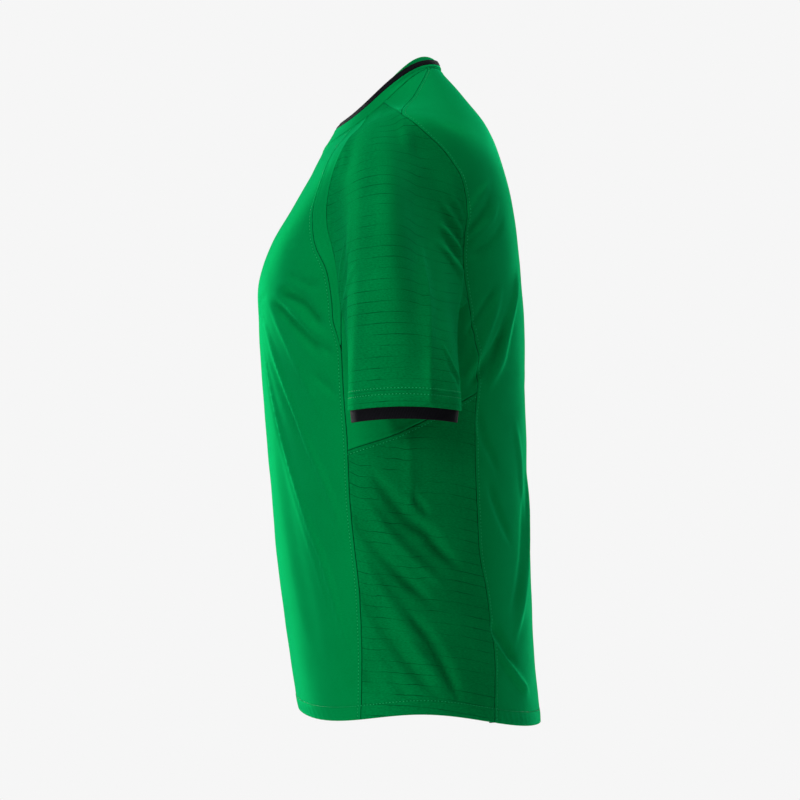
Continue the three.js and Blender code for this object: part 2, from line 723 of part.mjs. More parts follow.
// Angles of all the columns that meet the neckband, once round from the front
function neckAngles() {
  const frontEdge = stripeAngle(NECK_SEAM);
  const sleeveFront = frontAngle(NECK_SEAM);
  const sleeveBack = SLEEVE_AT_NECK_BACK * DEGREE;
  const shoulder = backAngle(NECK_SEAM);
  const half = [
    ...steps(HALF_FRONT_COLUMNS).map((t) => lerp(0, frontEdge, t)),
    ...steps(STRIPE_COLUMNS).slice(1).map((t) => lerp(frontEdge, sleeveFront, t)),
    ...steps(NECK_TIP_COLUMNS).slice(1).map((t) => lerp(sleeveFront, sleeveBack, t)),
    ...steps(SHOULDER_COLUMNS).slice(1).map((t) => lerp(sleeveBack, shoulder, t)),
    ...steps(HALF_BACK_COLUMNS).slice(1).map((t) => lerp(shoulder, Math.PI, t)),
  ];
  const otherHalf = half.slice(1, -1).reverse().map((angle) => 2 * Math.PI - angle);
  return [...half, ...otherHalf];
}

function bandRing(fromLevel, toLevel, thickness) {
  const rows = steps(BAND_ROWS).map((t) => lerp(fromLevel, toLevel, t));
  const angles = neckAngles();
  const nodes = rows.map((level) => angles.map((angle) => skinNode(angle, level)));
  return wall(nodes, { closed: true, thickness });
}

// How far the inner neckband stands above the collar
function bandProud(angle) {
  const round = Math.acos(Math.cos(angle)) / DEGREE;
  const away = (round - BAND_PROUD_AT) / BAND_PROUD_SPREAD;
  return BAND_FRONT_DROP + (BAND_PROUD - BAND_FRONT_DROP) * Math.exp(-away * away);
}

function innerNeckbandGeometry() {
  const inside = RIB_WALL + LAYER_GAP;
  const angles = neckAngles();
  const lower = steps(BAND_ROWS).map((t) => lerp(BAND_TUCK_LEVEL, BAND_UPPER_LEVEL, t));
  const rows = lower.map((level) => angles.map((angle) => {
    const node = skinNode(angle, level);
    return { point: node.point.addScaledVector(node.normal, -inside), normal: node.normal };
  }));
  rows.push(angles.map((angle) => {
    const node = skinNode(angle, COLLAR_TOP);
    const up = node.point.clone().sub(skin(angle, COLLAR_TOP - STEP)).normalize();
    const point = node.point.addScaledVector(node.normal, -inside).addScaledVector(up, bandProud(angle));
    return { point, normal: node.normal };
  }));
  return wall(rows, { closed: true });
}

// Assembly

const jersey = new THREE.Group();

function sew(name, geometry, finish) {
  const mesh = new THREE.Mesh(geometry, new THREE.MeshStandardMaterial(finish));
  mesh.name = name;
  jersey.add(mesh);
}

function sewPair(name, geometry, finish) {
  sew(`${name}_left`, geometry, finish);
  sew(`${name}_right`, mirrored(geometry), finish);
}

sew('front', frontGeometry(), GREEN);
sew('back', backGeometry(), GREEN);
sewPair('front_stripe', stripeGeometry(), GREEN);
sewPair('shoulder', shoulderGeometry(), GREEN);
sewPair('underarm', underarmGeometry(), GREEN);
sewPair('side_panel', sidePanelGeometry(), PIN_LINE_GREEN);
sewPair('sleeve', sleeveGeometry(), PIN_LINE_GREEN);
sewPair('cuff', cuffGeometry(), BLACK);
sew('neckband', bandRing(NECK_SEAM, COLLAR_SEAM, KNIT_WALL), GREEN);
sew('collar', bandRing(COLLAR_SEAM, COLLAR_TOP, RIB_WALL), BLACK);
sew('inner_neckband', innerNeckbandGeometry(), GREEN);

export default jersey;
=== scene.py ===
"""A green short-sleeved football jersey, filled out as worn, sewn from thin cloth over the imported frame.

Lengths in the tables are millimetres. X points to the wearer's left, Y to the back and Z up.
"""
from __future__ import annotations

import logging
import math
from collections.abc import Callable, Sequence
from dataclasses import dataclass, field, replace
from enum import Enum
from typing import NamedTuple

import bmesh
import bpy
import numpy as np
from mathutils import Euler, Matrix, Vector


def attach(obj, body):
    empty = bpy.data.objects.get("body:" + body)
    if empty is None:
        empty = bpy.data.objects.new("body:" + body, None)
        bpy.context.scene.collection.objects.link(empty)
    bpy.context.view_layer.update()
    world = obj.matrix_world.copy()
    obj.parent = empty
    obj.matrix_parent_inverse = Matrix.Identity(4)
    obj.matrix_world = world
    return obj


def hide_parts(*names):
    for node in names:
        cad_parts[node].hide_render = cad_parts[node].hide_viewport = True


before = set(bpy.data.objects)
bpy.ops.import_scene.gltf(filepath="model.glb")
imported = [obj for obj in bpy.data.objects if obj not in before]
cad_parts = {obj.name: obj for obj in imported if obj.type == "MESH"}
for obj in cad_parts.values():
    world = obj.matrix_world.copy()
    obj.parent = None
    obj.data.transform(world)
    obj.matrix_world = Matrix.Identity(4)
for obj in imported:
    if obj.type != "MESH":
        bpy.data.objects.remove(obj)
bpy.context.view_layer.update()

Array = np.ndarray
Surface = Callable[[Array, Array], Array]
TurnIn = Callable[[Array], tuple[Array, Array]]

LOG = logging.getLogger("jersey")
MM = 0.001
DEGREE = math.pi / 180
STEP = 1e-3

# The body, one row for each level from the hem edge up to the top of the collar
SECTION_COLUMNS = (
    "z_front", "z_front_side", "z_side", "z_back_side", "z_back",
    "y_front", "y_widest", "y_back", "half_width", "square",
)
SECTIONS = (
    (-590, -595, -586, -599, -604, -101, 18, 140, 187, 2.15),
    (-576, -581, -572, -585, -590, -104, 17, 139, 186, 2.15),
    (-535, -541, -535, -543, -547, -110, 12, 135, 184, 2.15),
    (-487, -491, -488, -493, -495, -117, 7, 132, 181, 2.15),
    (-430, -432, -431, -433, -434, -124, 3, 130, 177, 2.15),
    (-370, -370, -370, -371, -371, -129, 0, 128, 174, 2.2),
    (-312, -310, -309, -310, -311, -134, -4, 127, 171, 2.2),
    (-258, -254, -252, -253, -255, -138, -6, 125, 170, 2.25),
    (-208, -203, -200, -202, -205, -141, -8, 124, 170, 2.3),
    (-166, -158, -152, -158, -164, -141, -9, 121, 170, 2.35),
    (-128, -115, -100, -112, -122, -128, -6, 117, 170, 2.4),
    (-94, -79, -54, -68, -82, -108, -3, 111, 169, 2.45),
    (-66, -52, -17, -32, -45, -92, 0, 101, 165, 2.4),
    (-50, -38, -4, -7, -11, -84, -4, 87, 144, 2.3),
    (-40, -29, 1, 21, 20, -79, -10, 63, 115, 2.1),
    (-33, -22, 8, 43, 45, -76, -17, 41, 88, 2),
    (-13, -6, 23, 48, 50, -64, -14, 40, 82, 2),
    (-7, 1, 31, 53, 55, -60, -12, 38, 79, 2),
)
HEM_EDGE = 0
NECK_SEAM = 15
COLLAR_SEAM = 16
COLLAR_TOP = 17

# Seams on the body: the place across it (y) at each height (z), from below upwards
FRONT_LINE = (
    (-606, -38), (-560, -37), (-515, -37), (-460, -40), (-425, -44), (-386, -48), (-347, -50),
    (-322, -51), (-285, -54), (-248, -56), (-218, -57), (-196, -57), (-174, -59), (-150, -62),
    (-132, -66), (-117, -70), (-96, -71), (-67, -66), (-42, -57), (-24, -47), (-16, -39), (0, -29),
)
STRIPE_LINE = (
    (-233, -57), (-222, -60), (-207, -64.5), (-188, -66), (-157, -71.5), (-134, -82),
    (-121, -84.5), (-98, -84.5), (-68, -76), (-44, -67), (-29, -57), (-11, -43),
)
BACK_LINE = (
    (-610, 91), (-565, 92), (-534, 92), (-501, 88), (-463, 83), (-438, 78), (-392, 75), (-338, 73),
    (-302, 73), (-282, 74), (-262, 76), (-220, 72), (-186, 66), (-160, 62), (-143, 61), (-124, 62.5),
    (-94, 64.7), (-81, 63), (-66, 59), (-53, 51), (-40, 41), (-26, 26), (-12, 10), (-6, 1.5),
    (14, 13), (31, 22), (42, 27),
)
SIDE_SEAM = (
    (-55, -335), (-50, -332), (-33, -326), (-4, -316), (11, -309), (28, -301), (59, -285),
    (73, -277), (82, -272),
)
PANEL_CORNER_FRONT = -332
PANEL_CORNER_BACK = -275
STRIPE_TIP = -233
ARMHOLE_FRONT = -196
ARMHOLE_BACK = -186
ARMHOLE_SAG = 16
SHOULDER_TIP = -6
SLEEVE_AT_NECK_BACK = 91
FRONT_LINE_BETWEEN = (30, 100)
STRIPE_LINE_BETWEEN = (25, 90)
BACK_LINE_BETWEEN = (82, 172)
SOLVE_STEPS = 36
FOLD_END = 0.28
STITCH_SHADE = 0.3
RING_JOIN = 25
TUCKED_PENALTY = 9
SEAM_SAMPLES = 900

# Sleeve: its lower end, and how it leaves the armhole by the angle on the cuff, 0 outward and 90 back
SLEEVE_END_FLOW = (0.12, -0.01, -0.99)
SLEEVE_END_REACH = 0.9
CUFF_FRONT, CUFF_NECK_FRONT, CUFF_NECK_BACK, CUFF_TIP, CUFF_BACK = -128, -40, -27, 4, 130
SLEEVE_FLOWS = (
    (-180, 0.42, 0.0, -0.9, 0, 0.8),
    (-150, 0.42, 0.0, -0.9, 0, 0.8),
    (-128, 0.4, 0.0, -0.9, 0.2, 0.85),
    (-105, 0.62, 0.12, -0.77, 0.8, 0.95),
    (-70, 0.85, 0.2, -0.5, 1, 1.1),
    (-40, 0.97, 0.1, -0.2, 1, 1.2),
    (-27, 0.98, 0.0, -0.2, 1, 1.2),
    (4, 0.9, 0.0, -0.4, 1, 1.15),
    (45, 0.8, -0.1, -0.6, 1, 1.1),
    (100, 0.6, -0.15, -0.77, 0.8, 0.95),
    (130, 0.4, 0.0, -0.9, 0.2, 0.85),
    (155, 0.42, 0.0, -0.9, 0, 0.8),
    (180, 0.42, 0.0, -0.9, 0, 0.8),
)


class Side(Enum):
    """The wearer's side that a piece is on."""

    LEFT = 1
    RIGHT = -1

    def share(self, u: Array) -> Array:
        """Shares across a piece, counted the other way round on the right."""
        return u if self is Side.LEFT else 1 - u


class Fold(NamedTuple):
    """A soft trough or ridge in the cloth.

    It follows a path of places, each an angle in degrees and a height or way down, and fades out at
    both ends. A power of 2 gives a round crest, 1 a pressed one.
    """

    path: tuple[tuple[float, float], ...]
    half_width: float
    height: float
    power: float = 1.7


# Folds of the body on its left: degrees round from the front, heights in millimetres
BODY_FOLDS = (
    # front, from the chest towards the side seam
    Fold(((13, -200), (16.5, -220), (24, -263), (30.5, -306), (39, -361), (46, -402),
           (52.5, -438), (58, -490), (62, -530), (65, -560)), 7, 3.4, 1.35),
    Fold(((17, -182), (21, -198), (32, -240), (41, -282), (48, -320), (55, -354),
           (60, -385), (63.5, -415), (66, -440)), 6.5, 3.0, 1.35),
    Fold(((26, -180), (31, -193), (39, -219), (49.5, -262), (55, -289), (59, -310)), 6, 2.0, 1.35),
    Fold(((17, -232), (25, -280), (33, -335), (41, -380), (49, -425)), 9, -1.5),
    Fold(((22, -222), (33, -265), (43, -305), (50, -345)), 8, -1.4),
    Fold(((36, -178), (44, -181), (51, -189), (56, -201), (64, -214)), 11, -6.0),
    Fold(((30, -187), (36, -192), (43, -203), (50, -216), (56, -231), (62, -248)), 9, -4.6),
    Fold(((40, -188), (48, -200), (56, -216), (62, -230)), 6, 1.3),
    Fold(((53, -219), (59, -230), (66, -242)), 7, -2.8),
    Fold(((53, -256), (60, -268), (67, -281)), 7, -2.6),
    Fold(((42, -160), (49, -166), (56.5, -172), (62, -174)), 7, -2.4),
    Fold(((12, -193), (19, -185), (29, -180)), 5, -1.0),
    Fold(((12, -201), (19, -195), (28, -191)), 4, -0.8),
    Fold(((14, -209), (20, -205), (27, -202)), 4, -0.6),
    Fold(((36, -129), (47, -131), (60, -133)), 4, -0.5),
    Fold(((37, -139), (48, -141), (60, -143)), 4, -0.55),
    Fold(((38, -149), (49, -151), (60, -153)), 4, -0.55),
    Fold(((40, -159), (50, -160), (60, -162)), 4, -0.5),
    Fold(((27, -300), (34, -390), (40, -470), (46, -550)), 24, -1.4),
    Fold(((24, -290), (34, -350), (44, -410), (51, -460), (56, -520)), 7, 1.2),
    Fold(((50, -560), (56, -569), (61, -574)), 5, -0.8),
    # side panel and underarm piece
    Fold(((76, -343), (88, -384), (94, -399), (101, -411), (106, -426), (117, -453)), 11, -4.8),
    Fold(((67, -382), (78, -426), (89, -453), (104, -487)), 10, -4.6),
    Fold(((94, -371), (98, -383), (103, -394)), 7, -2.6),
    Fold(((68, -458), (79.5, -507), (90, -542), (101, -576)), 12, -5.0),
    Fold(((89, -481), (102, -526), (108, -563), (109, -580)), 11, -4.8),
    Fold(((78, -544), (82, -559), (87, -573)), 8, -2.9),
    Fold(((66, -545), (70, -557), (75, -568)), 7, -2.3),
    Fold(((72, -368), (84, -410), (95, -438), (110, -470)), 10, 2.9),
    Fold(((69, -420), (80, -468), (92, -505), (104, -533)), 11, 3.1),
    Fold(((80, -478), (92, -520), (104, -563)), 9, 2.6),
    Fold(((68, -500), (76, -535), (83, -566)), 8, 1.8),
    Fold(((96, -305), (95, -352), (94, -402)), 14, 2.6, 1.0),
    Fold(((58, -563), (61, -557), (64, -550)), 2.6, -2.4, 1.3),
    # back, from the armhole and the shoulder blade towards the side seam
    Fold(((121, -118), (127, -94), (139, -66)), 7, 1.8),
    Fold(((121, -133), (128, -122), (137, -106), (145, -88)), 8, 2.0),
    Fold(((121, -125), (128, -109), (140, -80)), 6, -1.5),
    Fold(((121, -145), (130, -136), (140, -121), (149, -104)), 8, -1.5),
    Fold(((164, -148), (148, -200), (139.5, -244), (129, -282)), 13, 4.0),
    Fold(((157, -160), (142, -212), (134, -250), (127, -276)), 8, -1.8),
    Fold(((143, -168), (134, -208), (126, -242), (120, -267)), 9, 2.8),
    Fold(((139, -168), (132, -188), (126.5, -205), (121, -225)), 8, -2.2),
    Fold(((142, -212), (132.5, -241), (128, -256), (121, -276)), 8, -2.6),
    Fold(((126, -285), (129.5, -325), (132.5, -336), (137, -360)), 8, -1.8),
    Fold(((130, -358), (135.5, -390), (141, -411), (146, -430)), 9, -2.2),
    Fold(((165, -342), (167.5, -374), (165, -410), (162, -441),
           (154, -480), (148, -505), (141, -532)), 14, 3.2),
    Fold(((158, -370), (156, -420), (149, -468), (140, -505)), 11, -1.8),
    Fold(((128, -512), (137, -539), (146, -559), (156, -573)), 9, 3.6),
    Fold(((128, -494), (136, -523), (145, -547)), 11, -3.4),
    Fold(((172, -240), (180, -330), (186, -430)), 26, -1.8),
    Fold(((150, -300), (156, -345), (158, -390)), 12, 1.6),
)
BODY_RADIUS = 150

# Folds of the sleeve: degrees on the cuff, 0 outward and 90 back, and millimetres down from the armhole
SLEEVE_FOLDS = (
    Fold(((56, 23), (62, 18), (72, 14), (84, 8)), 4, 1.3),
    Fold(((48, 36), (55, 32), (71, 26), (95, 9)), 5, 1.7),
    Fold(((51, 53), (59, 49), (79, 37), (106, 8)), 5, 2.0),
    Fold(((50, 74), (59, 68), (83, 54), (114, 10)), 6, 2.3),
    Fold(((54, 43), (72, 34), (98, 10)), 5, -1.3),
    Fold(((54, 62), (80, 45), (108, 10)), 5, -1.5),
    Fold(((44, 166), (54, 175), (67, 187), (90, 198)), 5, 1.6),
    Fold(((48, 182), (62, 194), (80, 203)), 5, -1.0),
    Fold(((-76, 74), (-93, 60), (-120, 35)), 5, 1.4),
    Fold(((-48, 137), (-75, 118), (-110, 74), (-128, 30)), 6, 1.8),
    Fold(((-100, 109), (-112, 101), (-129, 68)), 5, 1.3),
    Fold(((-62, 108), (-88, 88), (-115, 52)), 6, -1.4),
    Fold(((-70, 62), (-78, 110), (-82, 170)), 14, 1.2),
    Fold(((36, 84), (35, 110), (34, 140), (30, 164), (26.5, 190), (25.5, 214), (25.5, 250)), 18, 5.0, 1.0),
)
SLEEVE_RADIUS = 50
SLEEVE_LENGTH = 230
SLEEVE_FOLDS_FROM = 0.03
SLEEVE_FOLDS_TO = 0.02


# ---------------------------------------------------------------- curves


def lerp(a: Array | float, b: Array | float, t: Array | float) -> Array | float:
    """Goes from a to b as t goes from 0 to 1."""
    return a + (b - a) * t


def unit(vectors: Array) -> Array:
    """Vectors at length one."""
    return vectors / np.maximum(np.linalg.norm(vectors, axis=-1, keepdims=True), 1e-9)


def smooth_step(x: Array, low: float, high: float) -> Array:
    """Rises smoothly from 0 at low to 1 at high."""
    t = np.clip((x - low) / (high - low), 0, 1)
    return t * t * (3 - 2 * t)


class Curve:
    """A smooth curve through a table's rows, for keys that rise from row to row."""

    def __init__(self, keys: Sequence[float], values: Sequence[float]) -> None:
        """Works out the slope at each row.

        Args:
            keys: The places of the rows.
            values: The value at each.
        """
        self.keys = np.asarray(keys, float)
        self.values = np.asarray(values, float)
        slopes = np.diff(self.values) / np.diff(self.keys)
        self.slopes = np.concatenate(([slopes[0]], (slopes[:-1] + slopes[1:]) / 2, [slopes[-1]]))

    def at(self, where: Array) -> Array:
        """Reads the curve.

        Args:
            where: Places between the first key and the last.

        Returns:
            The value at each place.
        """
        i = np.clip(np.searchsorted(self.keys, where, side="left") - 1, 0, len(self.keys) - 2)
        span = self.keys[i + 1] - self.keys[i]
        t = np.clip((where - self.keys[i]) / span, 0, 1)
        t2 = t * t
        t3 = t2 * t
        return (
            (2 * t3 - 3 * t2 + 1) * self.values[i]
            + (t3 - 2 * t2 + t) * span * self.slopes[i]
            + (3 * t2 - 2 * t3) * self.values[i + 1]
            + (t3 - t2) * span * self.slopes[i + 1]
        )


def joined(stretches: Sequence[Array], end: float) -> Array:
    """Joins the stretches of a closed line and adds its end."""
    return np.concatenate([*stretches, [end]])


def solve(difference: Callable[[Array], Array], low: Array, high: Array) -> Array:
    """Finds where rising functions pass zero, by halving.

    Args:
        difference: The functions, which take one place each.
        low: Places below the answers.
        high: Places above them.

    Returns:
        The places where they are zero.
    """
    for _ in range(SOLVE_STEPS):
        middle = (low + high) / 2
        below = difference(middle) < 0
        low = np.where(below, middle, low)
        high = np.where(below, high, middle)
    return (low + high) / 2


def fold_lift(fold: Fold, radius: float, angle: Array, along: Array) -> Array:
    """How far one fold lifts the cloth.

    Args:
        fold: The fold.
        radius: Turns its angles into lengths.
        angle: Angles of the points, in degrees.
        along: Heights or ways down of the points.

    Returns:
        The lift at each point, less than zero in a trough.
    """
    angles, places = np.array(fold.path, float).T
    middle = angles[len(angles) // 2]
    turned_by = ((angle - middle + 180) % 360 - 180) * DEGREE * radius
    across = (angles - middle) * DEGREE * radius
    if abs(places[-1] - places[0]) > abs(across[-1] - across[0]):
        keys, values, key, value = places, across, along, turned_by
    else:
        keys, values, key, value = across, places, turned_by, along
    order = np.argsort(keys)
    curve = Curve(keys[order], values[order])
    low, high = keys.min(), keys.max()
    share = np.clip((key - low) / (high - low), 0, 1)
    slope = (curve.at(key + STEP) - curve.at(key - STEP)) / (2 * STEP)
    fade = smooth_step(share, 0, FOLD_END) * smooth_step(1 - share, 0, FOLD_END)
    width = fold.half_width * (0.5 + 0.5 * fade)
    away = np.abs(value - curve.at(key)) / np.hypot(1, slope) / width
    return fold.height * fade * (1 - np.minimum(away, 1) ** fold.power) ** 2


def fold_heights(folds: Sequence[Fold], radius: float, angle: Array, along: Array) -> Array:
    """How far folds lift the cloth.

    Args:
        folds: The folds.
        radius: Turns their angles into lengths.
        angle: Angles of the points, in degrees.
        along: Heights or ways down of the points.

    Returns:
        The lift at each point.
    """
    angle, along = np.broadcast_arrays(angle, along)
    total = np.zeros(angle.shape)
    for fold in folds:
        angles, places = np.array(fold.path, float).T
        margin = 2 * fold.half_width
        near = (along > places.min() - margin) & (along < places.max() + margin)
        middle = (angles.min() + angles.max()) / 2
        reach = (angles.max() - angles.min()) / 2 + margin / radius / DEGREE
        near &= np.abs((angle - middle + 180) % 360 - 180) < reach
        if near.any():
            total[near] += fold_lift(fold, radius, angle[near], along[near])
    return total


def other_side(folds: Sequence[Fold], sign: int = -1) -> tuple[Fold, ...]:
    """Similar folds for the other side, each a little different, so that the two aren't twins.

    Args:
        folds: The folds of the left side.
        sign: -1 turns their angles round, 1 keeps them.

    Returns:
        The folds of the right side.
    """
    changed = []
    for i, fold in enumerate(folds):
        turn, lift, share = 2.0 * math.sin(1.7 * i), 4 * math.cos(2.3 * i), 0.85 + 0.2 * math.sin(1.1 * i)
        places = tuple((sign * (angle + turn), along + lift) for angle, along in fold.path)
        changed.append(fold._replace(path=places, height=fold.height * share))
    return tuple(changed)


def ripple(points: Array) -> Array:
    """The slight unevenness of hanging cloth, in millimetres.

    Args:
        points: Points on the cloth.

    Returns:
        A small lift at each.
    """
    x, y, z = points[..., 0], points[..., 1], points[..., 2]
    return (
        0.22 * np.sin(x / 13.1 + 1.1 * np.sin(z / 23.3)) * np.sin(y / 15.7 + z / 31)
        + 0.16 * np.sin(z / 9.3 + x / 17.9) * np.sin(y / 11.3 - z / 27)
    )


# ---------------------------------------------------------------- surfaces


class Body:
    """The body's surface, by the angle round from the front and the level, and the seams on it."""

    def __init__(self) -> None:
        """Fits the curves and finds the corners where the pieces meet."""
        table = np.array(SECTIONS, float)
        levels = np.arange(len(SECTIONS))
        low, high = slice(None, NECK_SEAM + 1), slice(NECK_SEAM, None)
        self.body_curves = {c: Curve(levels[low], table[low, i]) for i, c in enumerate(SECTION_COLUMNS)}
        self.neck_curves = {c: Curve(levels[high], table[high, i]) for i, c in enumerate(SECTION_COLUMNS)}
        self.front_y, self.stripe_y, self.back_y, self.side_z = (
            Curve(*zip(*line)) for line in (FRONT_LINE, STRIPE_LINE, BACK_LINE, SIDE_SEAM)
        )
        self.folds = BODY_FOLDS + other_side(BODY_FOLDS)
        self.seam_levels = np.linspace(HEM_EDGE, NECK_SEAM, SEAM_SAMPLES)
        self.front_angles = self.on_line(self.front_y, FRONT_LINE_BETWEEN)
        self.stripe_angles = self.on_line(self.stripe_y, STRIPE_LINE_BETWEEN)
        self.back_angles = self.on_line(self.back_y, BACK_LINE_BETWEEN)
        self.panel_corner_front = self.level_on(self.front_angle, PANEL_CORNER_FRONT)
        self.armhole_front = self.level_on(self.front_angle, ARMHOLE_FRONT)
        self.stripe_tip = self.level_on(self.front_angle, STRIPE_TIP)
        self.panel_corner_back = self.level_on(self.back_angle, PANEL_CORNER_BACK)
        self.armhole_back = self.level_on(self.back_angle, ARMHOLE_BACK)
        self.shoulder_tip = self.level_on(self.back_angle, SHOULDER_TIP)

    def plain(self, angle: Array, level: Array) -> Array:
        """The surface without its folds.

        Args:
            angle: Radians round from the front, more than zero on the left.
            level: Levels of the section table.

        Returns:
            Points in millimetres.
        """
        angle, level = np.broadcast_arrays(np.asarray(angle, float), np.asarray(level, float))
        s = {
            c: np.where(level > NECK_SEAM, self.neck_curves[c].at(level), self.body_curves[c].at(level))
            for c in SECTION_COLUMNS
        }
        cosine, sine = np.cos(angle), np.sin(angle)
        square = s["square"]
        reach = (np.abs(cosine) ** square + np.abs(sine) ** square) ** (-1 / square)
        depth = np.where(cosine > 0, s["y_widest"] - s["y_front"], s["y_back"] - s["y_widest"])
        heights = [s[c] for c in SECTION_COLUMNS[:5]]
        last = len(heights) - 1
        share = [0.5 if k in (0, last) else 1.0 for k in range(last + 1)]
        z = np.zeros(angle.shape)
        for k in range(last + 1):
            weight = sum(share[m] * heights[m] * math.cos(k * m * math.pi / last) for m in range(last + 1))
            z = z + share[k] * (2 / last) * weight * np.cos(k * angle)
        return np.stack([s["half_width"] * reach * sine, s["y_widest"] - depth * reach * cosine, z], axis=-1)

    def normal(self, angle: Array, level: Array) -> Array:
        """The way out of the plain surface.

        Args:
            angle: Radians round from the front.
            level: Levels of the section table.

        Returns:
            Vectors of length one.
        """
        across = self.plain(angle + STEP, level) - self.plain(angle - STEP, level)
        up = self.plain(angle, level + STEP) - self.plain(angle, level - STEP)
        return unit(np.cross(across, up))

    def cloth(self, angle: Array, level: Array) -> Array:
        """The surface with its folds.

        Args:
            angle: Radians round from the front.
            level: Levels of the section table.

        Returns:
            Points in millimetres.
        """
        points = self.plain(angle, level)
        lift = fold_heights(self.folds, BODY_RADIUS, angle / DEGREE, points[..., 2])
        return points + self.normal(angle, level) * lift[..., None]

    def neck_way(self, angle: Array) -> Array:
        """The way out at the neck seam, half way between the body's and the neckband's.

        Args:
            angle: Radians round from the front.

        Returns:
            Vectors of length one.
        """
        below = np.full(np.shape(angle), NECK_SEAM - 0.02)
        return unit(self.normal(angle, below) + self.normal(angle, below + 0.04))

    def on_line(self, line: Curve, between: tuple[float, float]) -> Array:
        """The angle of a seam at each of the seam levels.

        Args:
            line: The seam's y by its z.
            between: Degrees between which it lies.

        Returns:
            Radians round from the front.
        """
        def difference(angle: Array) -> Array:
            """How far a point lies behind the seam."""
            points = self.plain(angle, self.seam_levels)
            return points[..., 1] - line.at(points[..., 2])

        low, high = (np.full(SEAM_SAMPLES, degrees * DEGREE) for degrees in between)
        return solve(difference, low, high)

    def front_angle(self, level: Array) -> Array:
        """The angle of the front side seam and raglan seam."""
        return np.interp(level, self.seam_levels, self.front_angles)

    def stripe_angle(self, level: Array) -> Array:
        """The angle of the seam in front of the stripe."""
        return np.interp(level, self.seam_levels, self.stripe_angles)

    def back_angle(self, level: Array) -> Array:
        """The angle of the back side seam, the armhole behind and the shoulder seam."""
        return np.interp(level, self.seam_levels, self.back_angles)

    def side_angle(self, t: Array, level: Array) -> Array:
        """The angle at a share of the way from the front line to the back line."""
        return lerp(self.front_angle(level), self.back_angle(level), t)

    def level_on(self, angle_at: Callable[[Array], Array], height: Array | float) -> Array:
        """The level at which a line reaches a height.

        Args:
            angle_at: Gives the line's angle at a level.
            height: Heights in millimetres.

        Returns:
            Levels of the section table.
        """
        height = np.asarray(height, float)
        low = np.full(height.shape, float(HEM_EDGE))
        high = np.full(height.shape, float(NECK_SEAM))
        return solve(lambda level: self.plain(angle_at(level), level)[..., 2] - height, low, high)

    def side_seam_level(self, t: Array) -> Array:
        """The level of the side panel's top seam at a share of the way from front to back."""
        low = np.full(t.shape, float(HEM_EDGE))
        high = np.full(t.shape, float(NECK_SEAM))

        def difference(level: Array) -> Array:
            """How far a point lies above the seam."""
            points = self.plain(self.side_angle(t, level), level)
            return points[..., 2] - self.side_z.at(points[..., 1])

        inner = solve(difference, low, high)
        return np.where(t <= 0, self.panel_corner_front, np.where(t >= 1, self.panel_corner_back, inner))

    def underarm_level(self, t: Array) -> Array:
        """The level of the armhole's lowest stretch at a share of the way from front to back."""
        height = lerp(ARMHOLE_FRONT, ARMHOLE_BACK, t) - ARMHOLE_SAG * np.sin(math.pi * np.clip(t, 0, 1))
        return self.level_on(lambda level: self.side_angle(t, level), height)

    def shoulder_front_angle(self, level: Array) -> Array:
        """The front edge of the shoulder piece, straight from the neckband to the shoulder's tip."""
        t = (level - self.shoulder_tip) / (NECK_SEAM - self.shoulder_tip)
        return lerp(self.back_angle(self.shoulder_tip), SLEEVE_AT_NECK_BACK * DEGREE, t)


@dataclass(frozen=True)
class SleeveEnd:
    """The lower end of the left sleeve."""

    x: float = 226
    y: float = 4.3
    z: float = -293.5
    half_width: float = 44
    half_depth: float = 54
    rise: float = 4.5
    square: float = 2.2

    def at(self, degrees: Array) -> Array:
        """Points of the sleeve's hem edge.

        Args:
            degrees: Angles on the cuff, 0 outward and 90 back.

        Returns:
            Points in millimetres.
        """
        cosine, sine = np.cos(degrees * DEGREE), np.sin(degrees * DEGREE)
        reach = (np.abs(cosine) ** self.square + np.abs(sine) ** self.square) ** (-1 / self.square)
        return np.stack([
            self.x + self.half_width * reach * cosine,
            self.y + self.half_depth * reach * sine,
            self.z + self.rise * cosine**2,
        ], axis=-1)


